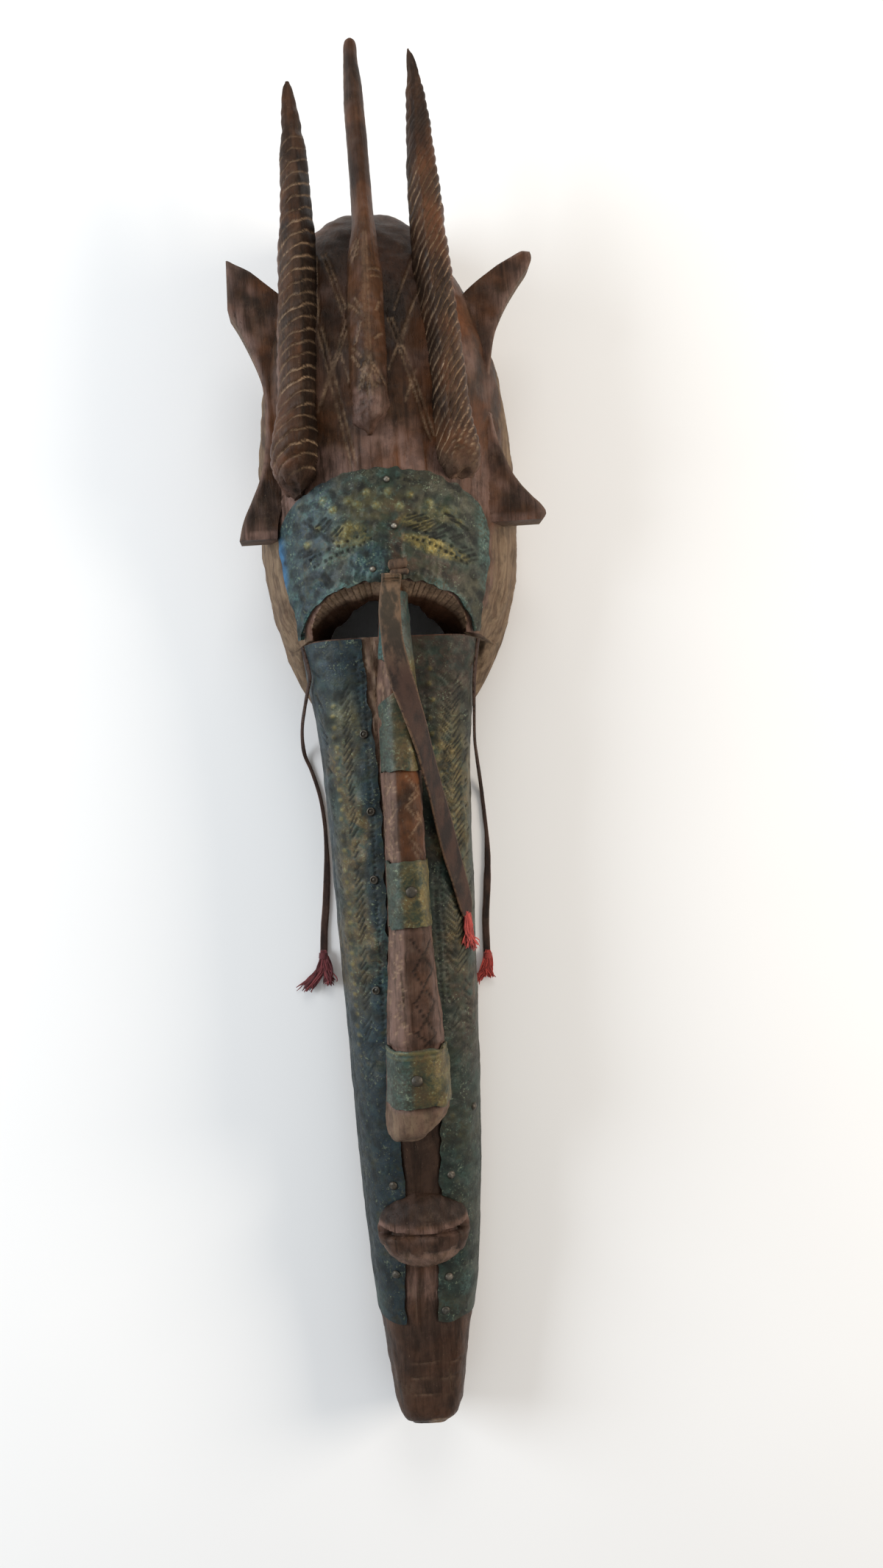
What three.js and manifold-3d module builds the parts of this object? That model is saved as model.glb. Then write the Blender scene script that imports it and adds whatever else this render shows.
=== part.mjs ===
// An ntomo mask: one block of wood with a horned forehead, a long face and a long nose, dressed
// with thin embossed metal sheets and three leather straps that end in cotton tassels.
// It lies on its back. Millimetres. +Y runs towards the horn tips, +X is the right side seen from
// the front, and +Z comes out of the face. The rim and the back of the long face lie on z = 0.
// All places below are counted from a point between the cheeks. The finished part is moved so that
// the middle of its outline seen from the front lies over the origin.

import * as THREE from 'three';
import * as BufferGeometryUtils from 'three/addons/utils/BufferGeometryUtils.js';
import Module from 'manifold-3d';

const wasm = await Module();
wasm.setup();

// Driving dimensions
const WALL = 13;
const CLEARANCE = 0.3;
const SHEET_THICKNESS = 0.8;
const SHEET_OUTSIDE = CLEARANCE + SHEET_THICKNESS;
const BELOW_BACK = -6;
const OUTLINE_MIDDLE = { x: 6.7, y: 15 };

const RIM = { centreY: 165, halfWidth: 82, up: 189, down: 145, upperPower: 1.95, lowerPower: 2 };
const DOME = { height: 98, crownY: 200, topY: 354, power: 2.6, browY: 118, browEdgeY: 86, browDrop: 10 };
const FLARE = { topY: 82, topHeight: 50, endY: 18, endHeight: 26 };
const EYE_ARCH = { x: -1, y: 83, halfWidth: 50.8, height: 31, power: 2.4 };
const EYE_BEVEL = { run: 5.5, depth: 10, aboveSurface: 2, sunk: 3 };
const EYE_BLOCK = { floorZ: 42, lowY: 74, above: 30 };
const HOLLOW = { topInset: 16, rimInset: 1, narrowing: 11.7, bowlFrom: 84, bowlFull: 118, troughSharpness: 2.2 };
const FACE = { topY: 86 };
const NOSE = { topY: 113, endY: -204, sharpness: 3.4 };
const EAR = { backZ: 50, thickness: 15 };
const MOUTH = { x: -0.5, y: -265.6, halfLength: 27.5, halfHeight: 23.5, rise: 15, sunk: 3 };
const MOUTH_GROOVE = { y: -264.4, sag: 2.5, halfGap: 1.2, endGap: 2.2, depth: 7 };
const TACK = { radius: 3.2, height: 1.5 };

const SECTION_STEPS = 16;
const NOSE_STEPS = 8;
const HOLLOW_STEPS = 10;

// Half-widths, heights and middles of the long face along Y, from the chin to the eyes
const faceHalfWidth = profile([
  [-388, 14], [-385, 17.6], [-380, 20], [-371, 22.2], [-359, 24], [-340, 26.8], [-321, 29.8], [-305, 32],
  [-273, 34.6], [-238, 37], [-197, 38.6], [-150, 40], [-73, 42.2], [-3, 44.2], [33, 46.4], [63, 50.2], [88, 52.8],
]);
const faceHeight = profile([
  [-388, 45], [-384, 48.5], [-376, 51], [-350, 52.5], [-311, 55], [-220, 61], [-100, 69], [0, 72], [90, 74],
]);
const faceMiddle = profile([
  [-388, -2], [-350, -1.2], [-296, 0.8], [-192, 1.8], [-71, 1.3], [-20, 1.1], [40, 0.8], [90, 0.3],
]);
const faceSharpness = profile([
  [-388, 4.5], [-350, 3.8], [-300, 3.3], [-100, 3.3], [0, 3.4], [50, 4], [90, 5],
]);

// Half-widths, top edge, middle, foot and flare of the nose along Y, from its tip to its root
const noseHalfWidth = profile([
  [-204, 11], [-201, 15.4], [-196, 17.6], [-188, 18.4], [-180, 18.6], [-165, 18], [-139, 16.4], [-80, 12.4],
  [-40, 11.6], [7, 10.8], [68, 8.8], [90, 7.6], [113, 6.9],
]);
const noseTop = profile([
  [-204, 85], [-200, 91], [-190, 94.5], [-139, 95], [-20, 97.5], [70, 100], [96, 99], [113, 96],
]);
const noseMiddle = profile([
  [-204, -3.6], [-196, -1.2], [-188, -0.2], [-180, 0.6], [-150, 0.5], [-100, 0.8], [-40, 1], [20, 1],
  [60, 1.4], [86, 1.9], [113, 2.2],
]);
const noseFloor = profile([[-204, 44], [-100, 52], [0, 58], [113, 62]]);
const noseFlare = profile([[-204, 0.02], [0, 0.1], [25, 0.2], [60, 0.36], [88, 0.2], [113, 0.1]]);

// How far the rim leans to the right along Y
const rimLean = profile([
  [18, 1.7], [60, 3.6], [125, 6.6], [165, 6.6], [206, 7.3], [240, 8.6], [263, 8], [285, 5], [304, 1.8],
  [332, -2.5], [354, -3],
]);

// How deep the trough behind the long face runs along Y
const troughDepth = profile([[-300, 4], [-280, 14], [-150, 30], [0, 46], [80, 58], [90, 60]]);

// Horns and crest, each station as [y, middle x, half-width, ridge z, back z]
const LEFT_HORN = {
  side: 1, rings: 20, slant: 0.45, plainAbove: 368,
  stations: [
    [167.5, -47, 1.5, 87, 70], [171.5, -48, 7.5, 98, 69], [179, -49, 12.2, 106, 68],
    [218, -45.1, 11.5, 108, 70], [261, -42.8, 11, 107, 74], [315, -40.4, 8.9, 104, 78],
    [331, -39.8, 8.1, 103, 83], [356, -39.3, 6.7, 101, 88], [372, -39.7, 4.9, 99.5, 90.5],
    [388, -40.6, 2.7, 98, 93], [395, -40.2, 0.9, 97, 95],
  ],
};
const RIGHT_HORN = {
  side: -1, rings: 22, slant: -1.25, plainAbove: 404,
  stations: [
    [173, 42.6, 4, 90, 70], [177, 43, 9.8, 99, 69], [185, 43.5, 13.2, 107, 68],
    [207, 41.2, 11.4, 108, 69], [246, 38.9, 10.3, 108, 73], [288, 35.2, 10.2, 106, 77],
    [314, 33.8, 9.3, 105, 79], [332, 33, 9, 104, 83], [353, 31.8, 7.9, 102, 87],
    [375, 31.5, 5.7, 100, 90], [397, 30.3, 3.3, 98, 93], [411, 29.4, 0.9, 97, 95.5],
  ],
};
const HORN_SECTION = [[-0.86, 0], [-1, 0.4], [-0.8, 0.82], [-0.2, 1], [0.4, 0.97], [1, 0.4], [0.86, 0]];
const HORN = { grooveShare: 0.3, fullGrooveHalfWidth: 8, sideGroove: 0.13, ridgeGroove: 0.06, slantReach: 0.35 };
const CREST_SECTION = [[-0.9, 0], [-1, 0.55], [-0.5, 0.88], [0, 1], [0.5, 0.88], [1, 0.55], [0.9, 0]];
const CREST = [
  [190, -7, 1, 104, 86], [199, -6, 5.5, 107.5, 86], [209, -4.7, 8.7, 109.5, 86],
  [219, -5, 10.4, 110.5, 86], [236, -4.8, 10.5, 111, 85], [265, -4.5, 10.5, 111, 83],
  [293, -3.4, 9.6, 109.5, 76], [306, -3.1, 8.1, 108.5, 70],
  [317, -2.4, 6.5, 107, 68], [325, -2.3, 5.9, 106, 70], [346, -2.6, 5.2, 105, 85], [383, -3.4, 4.6, 102, 87],
  [411, -4.4, 3, 99.5, 89], [418, -4.5, 2.6, 99, 90],
];

// The C-shaped ears, seen from the front, outer curve first
const LEFT_EAR = [
  [-83, 311], [-83.7, 281], [-77.9, 271], [-69.3, 251], [-66, 239], [-65, 222], [-66.6, 201], [-69.3, 185],
  [-76.7, 169], [-81.9, 158.6], [-84.6, 147],
];
const LEFT_EAR_INNER = [
  [-62.5, 147.4], [-61.5, 158], [-54, 180], [-51, 240], [-48, 286], [-53.3, 290.5], [-69.2, 303.6],
];
const RIGHT_EAR = [
  [95, 313.3], [96.6, 308], [89.5, 296], [80.2, 282], [72.1, 264], [68.7, 245], [66.6, 226], [69.4, 206],
  [74.2, 190.5], [80.4, 177.5], [88.4, 167.6], [95, 161.6], [98.2, 156.4], [95.1, 152.8],
];
const RIGHT_EAR_INNER = [[56, 151.8], [57, 180], [55, 240], [52, 284], [56.5, 290], [76.3, 304.5]];

// Metal sheets seen from the front: how far each one reaches
const BROW_SHEET = {
  shoulderY: 147, rise: 30, halfWidth: 61, lowZ: 40,
  sides: [[60, 126], [54.5, 104], [53, 88.5]],
};
const CHEEK_SHEET = { topY: 85, lowY: -322, sideZ: 9, reach: 70 };
const CHEEK_SHEETS = [
  {
    name: 'left_cheek_sheet', side: -1,
    innerEdge: profile([[-322, -14.4], [-240, -10.4], [-190, -13], [0, -11.8], [86, -16.8]]),
  },
  {
    name: 'right_cheek_sheet', side: 1,
    innerEdge: profile([[-322, 5], [-240, 10], [-190, 13], [86, 4]]),
  },
];
const NOSE_SHEETS = [
  { name: 'nose_bridge_sheet', from: 108, to: 7, low: 84 },
  { name: 'nose_middle_band', from: -44, to: -83, low: 82 },
  { name: 'nose_tip_band', from: -149, to: -184, low: 76 },
];

// Tack heads: where each one sits, seen from the front
const BROW_TACKS = [[1.6, 170.4], [4.2, 144.2], [-8.9, 120.5]];
const CHEEK_TACKS = [
  [-19, 30], [-17.4, -15], [-18, -55], [-20.4, -120], [-17.2, -237.6], [17.2, -233.5], [12.7, -295.3],
  [-18.6, -292], [9.5, -315.7], [33.5, -196.7],
];
const NOSE_TACKS = [[1.9, -61], [-1.1, -167]];

// Strap routes: each point as [x, y, z, tilt of the flat face away from straight up in degrees]
const LEFT_STRAP = {
  name: 'left_strap', width: 4.5, thickness: 1.6, steps: 22,
  route: [
    [-52.2, 84.3, 55.5, -58], [-50.2, 75, 58, -54], [-48.7, 66, 59.5, -50], [-50.8, 58.5, 50, -64],
    [-53.6, 49, 38, -66], [-56.2, 39.8, 22, -60], [-57.2, 30, 8.6, -36], [-56.4, 21.5, 2.6, -8],
    [-53.1, 12.4, 1.2, 0], [-48.8, -3.5, 1.2, 0], [-46.8, -19.3, 1.2, 0], [-46.4, -35.4, 1.2, 0],
    [-46.8, -50.9, 1.2, 0], [-48.8, -74.4, 1.2, 0], [-50.8, -89.9, 1.2, 0], [-52, -105, 1.4, 0],
  ],
};
const RIGHT_STRAP = {
  name: 'right_strap', width: 4.5, thickness: 1.6, steps: 22,
  route: [
    [52.9, 84.3, 55.5, 58], [50.8, 74, 58, 54], [48.8, 60, 58.6, 50], [48.6, 51, 54.5, 58], [48.9, 44, 49, 66],
    [49.2, 36, 42, 68], [50.1, 24.2, 30, 64], [52.3, 13.9, 16.5, 50], [54.4, 3, 6, 24],
    [55.9, -9.8, 1.6, 4], [56.9, -25.6, 1.2, 0], [57.4, -35.2, 1.2, 0], [57.2, -49.6, 1.2, 0],
    [55.3, -73.4, 1.2, 0], [53.6, -89.5, 1.2, 0], [53, -112.4, 1.4, 0],
  ],
};
const NOSE_STRAP = {
  name: 'nose_strap', width: 12, thickness: 1.8, steps: 22,
  route: [
    [2, 117, 102.6, 0], [2, 108, 102.6, 0], [2, 92, 103.2, 0], [2.4, 76, 103.8, 0], [3.8, 62, 103.6, 4],
    [6, 52, 102.8, 12], [8.8, 41, 100.8, 26], [11.9, 29, 97.2, 40], [15, 16, 92, 48], [18.2, 2, 86.2, 48],
    [21.4, -12, 80.6, 44], [24.6, -27, 75.6, 40], [28, -43, 71.2, 38], [31.8, -58, 66.9, 42], [34.8, -71, 62.6, 46],
    [36, -79.5, 61, 48],
  ],
};

// Tassels, each tied below the end of a strap; the heading turns it seen from the front, the tilt sideways
const TASSEL = { neck: 2.6, flatness: 0.42 };
const TASSELS = [
  {
    name: 'left_tassel', finish: 'darkCotton',
    place: [-52.2, -105.5, 4.2], length: 26, radius: 9, heading: -0.12, tilt: 0,
  },
  {
    name: 'right_tassel', finish: 'cotton',
    place: [53.2, -112.8, 3.4], length: 25, radius: 6.5, heading: -0.2, tilt: 0,
  },
  {
    name: 'nose_tassel', finish: 'cotton',
    place: [36.3, -80, 60.8], length: 32, radius: 5.6, heading: 0.04, tilt: 0.84,
  },
];

// Colours
const COLOURS = {
  wood: { color: 0x5b4438, roughness: 0.72, metalness: 0 },
  metal: { color: 0x415a55, roughness: 0.5, metalness: 0.6 },
  tack: { color: 0x4c5f62, roughness: 0.45, metalness: 0.7 },
  leather: { color: 0x3f2c28, roughness: 0.65, metalness: 0 },
  cotton: { color: 0x96332e, roughness: 0.95, metalness: 0 },
  darkCotton: { color: 0x4b2329, roughness: 0.95, metalness: 0 },
};

function profile(pairs) {
  const positions = pairs.map((pair) => pair[0]);
  const values = pairs.map((pair) => pair[1]);
  const interpolant = new THREE.CubicInterpolant(positions, values, 1, new Float32Array(1));
  return (y) => interpolant.evaluate(y)[0];
}

function mix(a, b, share) {
  return a + (b - a) * share;
}

function easeBetween(value, low, high) {
  return THREE.MathUtils.smoothstep(value, low, high);
}

// Height of an oval of unit reach at a distance from its middle
function oval(distance, power) {
  return Math.max(1 - Math.abs(distance) ** power, 0) ** (1 / power);
}

// A run of numbers from one end to the other, both ends included
function spread(from, to, count) {
  return Array.from({ length: count }, (_, index) => mix(from, to, index / (count - 1)));
}

// A closed body through rings of equally many points, with a fan over each end
function loft(rings) {
  const size = rings[0].length;
  const positions = rings.flatMap((ring) => ring.flatMap((point) => [point.x, point.y, point.z]));
  const indices = [];
  for (let row = 0; row < rings.length - 1; row += 1) {
    for (let column = 0; column < size; column += 1) {
      const next = (column + 1) % size;
      const a = row * size + column;
      const b = row * size + next;
      indices.push(a, b, b + size, a, b + size, a + size);
    }
  }
  [0, rings.length - 1].forEach((row) => {
    const middle = new THREE.Vector3();
    rings[row].forEach((point) => middle.addScaledVector(point, 1 / size));
    const centre = positions.length / 3;
    positions.push(middle.x, middle.y, middle.z);
    for (let column = 0; column < size; column += 1) {
      const a = row * size + column;
      const b = row * size + ((column + 1) % size);
      indices.push(...(row === 0 ? [b, a, centre] : [a, b, centre]));
    }
  });
  const geometry = new THREE.BufferGeometry();
  geometry.setAttribute('position', new THREE.Float32BufferAttribute(positions, 3));
  geometry.setIndex(indices);
  return facingOut(geometry);
}

// The same body with its faces turned outwards
function facingOut(geometry) {
  const position = geometry.getAttribute('position');
  const index = geometry.getIndex();
  const corners = [new THREE.Vector3(), new THREE.Vector3(), new THREE.Vector3()];
  let volume = 0;
  for (let i = 0; i < index.count; i += 3) {
    corners.forEach((corner, k) => corner.fromBufferAttribute(position, index.getX(i + k)));
    volume += corners[0].dot(corners[1].clone().cross(corners[2]));
  }
  if (volume < 0) {
    for (let i = 0; i < index.count; i += 3) {
      const first = index.getX(i);
      index.setX(i, index.getX(i + 1));
      index.setX(i + 1, first);
    }
  }
  return geometry;
}

function toSolid(geometry) {
  const bare = geometry.clone();
  bare.deleteAttribute('normal');
  bare.deleteAttribute('uv');
  const merged = BufferGeometryUtils.mergeVertices(bare, 1e-4);
  return new wasm.Manifold(new wasm.Mesh({
    numProp: 3,
    vertProperties: merged.getAttribute('position').array,
    triVerts: Uint32Array.from(merged.getIndex().array),
  }));
}

function toGeometry(solid) {
  const mesh = solid.getMesh();
  const geometry = new THREE.BufferGeometry();
  geometry.setAttribute('position', new THREE.Float32BufferAttribute(mesh.vertProperties, 3));
  geometry.setIndex(new THREE.Uint32BufferAttribute(mesh.triVerts, 1));
  return geometry;
}

// A block from an outline seen from the front, between two heights
function prism(outline, lowZ, highZ) {
  const shape = new THREE.Shape(outline.map(([x, y]) => new THREE.Vector2(x, y)));
  const geometry = new THREE.ExtrudeGeometry(shape, { depth: highZ - lowZ, bevelEnabled: false });
  return toSolid(geometry.translate(0, 0, lowZ));
}

function block(lowX, highX, lowY, highY, lowZ, highZ) {
  return prism([[lowX, lowY], [highX, lowY], [highX, highY], [lowX, highY]], lowZ, highZ);
}

// One section across the mask: over the front from the right edge to the left, then flat behind
function archRing({
  y, halfWidth, height, power, middle, lean = 0, flare = 0, floorZ = 0, steps = SECTION_STEPS,
}) {
  const ring = [];
  for (let k = 0; k <= steps; k += 1) {
    const angle = (Math.PI * k) / steps;
    const across = Math.sign(Math.cos(angle)) * Math.abs(Math.cos(angle)) ** (2 / power);
    const up = Math.sin(angle) ** (2 / power);
    const spreadOut = 1 + flare * (1 - up);
    const x = middle + lean * (1 - up) + halfWidth * across * spreadOut;
    ring.push(new THREE.Vector3(x, y, floorZ + height * up));
  }
  return ring;
}

function rimHalfWidth(y) {
  const { centreY, halfWidth, up, down, upperPower, lowerPower } = RIM;
  const isUpper = y > centreY;
  return halfWidth * oval((y - centreY) / (isUpper ? up : down), isUpper ? upperPower : lowerPower);
}

function domeHeight(y) {
  if (y > DOME.crownY) {
    return DOME.height * oval((y - DOME.crownY) / (DOME.topY - DOME.crownY), DOME.power);
  }
  if (y >= DOME.browEdgeY) {
    const below = Math.max(DOME.browY - y, 0) / (DOME.browY - DOME.browEdgeY);
    return DOME.height - DOME.browDrop * below ** 2;
  }
  return mix(FLARE.endHeight, FLARE.topHeight, (y - FLARE.endY) / (FLARE.topY - FLARE.endY));
}

function domeSharpness(y) {
  return 2 + 1.3 * easeBetween(y, 175, 300);
}

function domeRing(y, offset = 0) {
  return archRing({
    y,
    halfWidth: rimHalfWidth(y) + offset,
    height: domeHeight(y) + offset,
    power: domeSharpness(y),
    middle: 0,
    lean: rimLean(y),
  });
}

function domeStations() {
  const top = spread(87, 0, 9).map((degrees) => (
    mix(DOME.crownY, DOME.topY, Math.sin(THREE.MathUtils.degToRad(degrees)))
  ));
  return [...top, 180, 160, 138, DOME.browY, 103, 92, DOME.browEdgeY, FLARE.topY, 68, 52, 36, FLARE.endY];
}

function faceRing(y, offset = 0) {
  return archRing({
    y,
    halfWidth: faceHalfWidth(y) + offset,
    height: faceHeight(y) + offset,
    power: faceSharpness(y),
    middle: faceMiddle(y),
  });
}

function faceStations() {
  return [FACE.topY, 66, 46, 26, 4, ...spread(-30, -300, 7), -322, -344, -362, -376, -384, -388];
}

function noseRing(y, offset = 0) {
  return archRing({
    y,
    halfWidth: noseHalfWidth(y) + offset,
    height: noseTop(y) - noseFloor(y) + offset,
    power: NOSE.sharpness,
    middle: noseMiddle(y),
    flare: noseFlare(y),
    floorZ: noseFloor(y),
    steps: NOSE_STEPS,
  });
}

function noseStations() {
  return [NOSE.topY, 96, 78, 60, 42, 20, -10, -45, -80, -110, -140, -165, -182, -193, -199, NOSE.endY];
}

// The hollow behind the forehead, which runs on as a tapering trough behind the long face
function hollow() {
  const topY = DOME.topY - HOLLOW.topInset;
  const bowlHeight = (y) => (
    (DOME.height - WALL) * oval(Math.max(y - DOME.crownY, 0) / (topY - DOME.crownY), DOME.power)
  );
  const bowlHalfWidth = (y) => (
    RIM.halfWidth * oval((y - RIM.centreY) / (topY + HOLLOW.rimInset - RIM.centreY), RIM.upperPower)
  );
  const bowl = [...spread(topY - 0.6, 205, 7), 165, 125, 110, 100, 90];
  const trough = [78, 60, 40, 20, -20, -90, -160, -230, -275, -296];
  const rings = [...bowl, ...trough].map((y) => {
    const isBowl = y > HOLLOW.bowlFrom;
    const share = easeBetween(y, HOLLOW.bowlFrom, HOLLOW.bowlFull);
    const height = isBowl ? mix(troughDepth(HOLLOW.bowlFrom), bowlHeight(y), share) : troughDepth(y);
    const halfWidth = y > RIM.centreY
      ? bowlHalfWidth(y) - HOLLOW.narrowing
      : Math.max(rimHalfWidth(y), faceHalfWidth(y)) - WALL;
    const ring = archRing({
      y,
      halfWidth: Math.max(halfWidth, 4),
      height: Math.max(height, 3),
      power: isBowl ? domeSharpness(y) : HOLLOW.troughSharpness,
      middle: 0,
      lean: rimLean(y),
      steps: HOLLOW_STEPS,
    });
    const right = ring[0].clone().setZ(BELOW_BACK);
    const left = ring[ring.length - 1].clone().setZ(BELOW_BACK);
    return [right, ...ring, left];
  });
  return toSolid(loft(rings));
}

// The upper half of an oval, seen from the front, from its right end to its left end
function upperOval(centreX, centreY, reachX, reachY, power = 2) {
  return spread(0, Math.PI, 17).map((angle) => {
    const across = Math.sign(Math.cos(angle)) * Math.abs(Math.cos(angle)) ** (2 / power);
    return [centreX + reachX * across, centreY + reachY * Math.sin(angle) ** (2 / power)];
  });
}

function eyeArch(inset = 0) {
  const { x, y, halfWidth, height, power } = EYE_ARCH;
  return upperOval(x, y, halfWidth - inset, height - inset, power);
}

// The block that clears both eyes, with a bevel under the brow
function eyeCutter() {
  const browSurface = (x) => (DOME.height - EYE_BEVEL.sunk) * oval(x / RIM.halfWidth, 2);
  const outline = (inset, zAt) => {
    const points = eyeArch(inset).map(([x, y]) => new THREE.Vector3(x, y, zAt(x)));
    const low = [points[points.length - 1].clone(), points[0].clone()];
    low.forEach((point) => point.setY(EYE_BLOCK.lowY));
    return [...points, ...low];
  };
  return toSolid(loft([
    outline(EYE_BEVEL.run, () => EYE_BLOCK.floorZ),
    outline(EYE_BEVEL.run, (x) => browSurface(x) - EYE_BEVEL.depth),
    outline(0, (x) => browSurface(x) + EYE_BEVEL.aboveSurface),
    outline(0, (x) => browSurface(x) + EYE_BLOCK.above),
  ]));
}

// A ridged horn: a tapering bar whose front is cut into slanting rings
function horn({ side, rings, slant, plainAbove, stations }) {
  const column = (index) => profile(stations.map((station) => [station[0], station[index]]));
  const [middleX, halfWidth, ridgeZ, backZ] = [column(1), column(2), column(3), column(4)];
  const baseY = stations[0][0];
  const ringedFrom = stations[2][0];
  const tipY = stations[stations.length - 1][0];
  const ringPitch = (plainAbove - ringedFrom) / rings;
  const levels = [{ y: baseY, cut: 0 }, { y: stations[1][0], cut: 0 }];
  for (let ring = 0; ring < rings; ring += 1) {
    const y = ringedFrom + ring * ringPitch;
    levels.push({ y, cut: 1 }, { y: y + ringPitch * HORN.grooveShare, cut: 0 });
  }
  levels.push({ y: plainAbove, cut: 0 }, { y: mix(plainAbove, tipY, 0.6), cut: 0 }, { y: tipY, cut: 0 });
  return toSolid(loft(levels.map(({ y, cut }) => {
    const fade = easeBetween(tipY - y, 0, 30) * easeBetween(y, baseY, ringedFrom);
    const room = Math.min(halfWidth(y) / HORN.fullGrooveHalfWidth, 1) * fade;
    return HORN_SECTION.map(([across, up]) => {
      const sideCut = up > 0.1 ? HORN.sideGroove * cut * room : 0;
      const ridgeCut = HORN.ridgeGroove * cut * room;
      return new THREE.Vector3(
        middleX(y) + side * across * halfWidth(y) * (1 - sideCut),
        y + slant * halfWidth(y) * Math.min(across, HORN.slantReach) * room,
        mix(backZ(y), ridgeZ(y), up * (1 - ridgeCut)),
      );
    });
  })));
}

// The crest: a roof-shaped leaf on the forehead that runs up into a slender upright slat
function crest() {
  const column = (index) => profile(CREST.map((station) => [station[0], station[index]]));
  const [middleX, halfWidth, ridgeZ, backZ] = [column(1), column(2), column(3), column(4)];
  const levels = [...CREST.map((station) => station[0]), 250, 279, 364].sort((a, b) => a - b);
  return toSolid(loft(levels.map((y) => CREST_SECTION.map(([across, up]) => new THREE.Vector3(
    middleX(y) + across * halfWidth(y),
    y,
    mix(backZ(y), ridgeZ(y), up),
  )))));
}

// A flat ear flange with a hollow curve on its outer side
function ear(outer, inner) {
  const curve = new THREE.SplineCurve(outer.slice(1).map(([x, y]) => new THREE.Vector2(x, y)));
  const outline = [outer[0], ...curve.getPoints(20).map((point) => [point.x, point.y]), ...inner];
  return prism(outline, EAR.backZ, EAR.backZ + EAR.thickness);
}

// The mouth: an oval swelling with a groove between the lips that widens towards its ends
function mouth(offset = 0) {
  const { x, y, halfLength, halfHeight, rise, sunk } = MOUTH;
  const geometry = new THREE.SphereGeometry(1, 18, 9).rotateX(Math.PI / 2);
  geometry.scale(halfLength + offset, halfHeight + offset, rise + offset);
  return toSolid(geometry.translate(x, y, faceHeight(y) - sunk));
}

function mouthGroove() {
  const edge = (direction) => spread(-1, 1, 7).map((share) => {
    const gap = mix(MOUTH_GROOVE.halfGap, MOUTH_GROOVE.endGap, share ** 2);
    const sag = MOUTH_GROOVE.sag * (share ** 2 - 0.5);
    return [MOUTH.x + share * (MOUTH.halfLength + 4), MOUTH_GROOVE.y + sag + direction * gap];
  });
  const topZ = faceHeight(MOUTH.y) - MOUTH.sunk + MOUTH.rise;
  return prism([...edge(-1), ...edge(1).reverse()], topZ - MOUTH_GROOVE.depth, topZ + 10);
}

function carvedMask() {
  const dome = toSolid(loft(domeStations().map((y) => domeRing(y)))).subtract(eyeCutter());
  const face = toSolid(loft(faceStations().map((y) => faceRing(y))));
  const nose = toSolid(loft(noseStations().map((y) => noseRing(y))));
  const carvings = [
    face,
    horn(LEFT_HORN),
    horn(RIGHT_HORN),
    crest(),
    ear(LEFT_EAR, LEFT_EAR_INNER),
    ear(RIGHT_EAR, RIGHT_EAR_INNER),
    mouth().subtract(mouthGroove()),
  ];
  return carvings.reduce((wood, piece) => wood.add(piece), dome).subtract(hollow()).add(nose);
}

// A thin shell that lies on a body, made from the same rings grown by two offsets
function shellOver(stations, ringAt) {
  const outside = toSolid(loft(stations.map((y) => ringAt(y, SHEET_OUTSIDE))));
  const inside = toSolid(loft(stations.map((y) => ringAt(y, CLEARANCE))));
  return outside.subtract(inside);
}

function browSheet() {
  const { shoulderY, rise, halfWidth, sides, lowZ } = BROW_SHEET;
  const lowY = sides[sides.length - 1][1];
  const arch = eyeArch().filter(([, y]) => y > lowY);
  const outline = [
    ...upperOval(0, shoulderY, halfWidth, rise),
    ...sides.map(([x, y]) => [-x, y]),
    ...arch.reverse(),
    ...sides.toReversed(),
  ];
  return shellOver(domeStations(), domeRing).intersect(prism(outline, lowZ, DOME.height + 10));
}

function cheekSheet({ side, innerEdge }) {
  const edge = spread(CHEEK_SHEET.topY, CHEEK_SHEET.lowY, 12).map((y) => [innerEdge(y), y]);
  const outerX = side * CHEEK_SHEET.reach;
  const outline = [...edge, [outerX, CHEEK_SHEET.lowY], [outerX, CHEEK_SHEET.topY]];
  const sheet = shellOver(faceStations(), faceRing)
    .intersect(prism(side < 0 ? outline : outline.reverse(), CHEEK_SHEET.sideZ, DOME.height));
  return [
    toSolid(loft(noseStations().map((y) => noseRing(y, CLEARANCE)))),
    toSolid(loft(domeStations().map((y) => domeRing(y, CLEARANCE)))),
    mouth(CLEARANCE),
  ].reduce((rest, obstacle) => rest.subtract(obstacle), sheet);
}

function noseSheet({ from, to, low }) {
  return shellOver(noseStations(), noseRing).intersect(block(-40, 40, to, from, low, DOME.height + 20));
}

// A shallow round tack head that lies flat on the surface below it
function tackGeometry() {
  const { radius, height } = TACK;
  const outline = [[0, 0], [radius, 0], [radius * 0.72, height * 0.7], [0, height]];
  return new THREE.LatheGeometry(outline.map(([x, y]) => new THREE.Vector2(x, y)), 8).rotateX(Math.PI / 2);
}

// Height of the section through y at x, and the tilt of its surface away from straight up
function onSection(ring, x) {
  const next = ring.findIndex((point) => point.x <= x);
  const [a, b] = [ring[next - 1], ring[next]];
  const share = (a.x - x) / (a.x - b.x);
  return { z: mix(a.z, b.z, share), tilt: Math.atan2(b.z - a.z, a.x - b.x) };
}

function tack(ringAt, x, y) {
  const { z, tilt } = onSection(ringAt(y, SHEET_OUTSIDE + CLEARANCE), x);
  return toGeometry(toSolid(tackGeometry().rotateY(tilt).translate(x, y, z + 0.1)));
}

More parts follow.
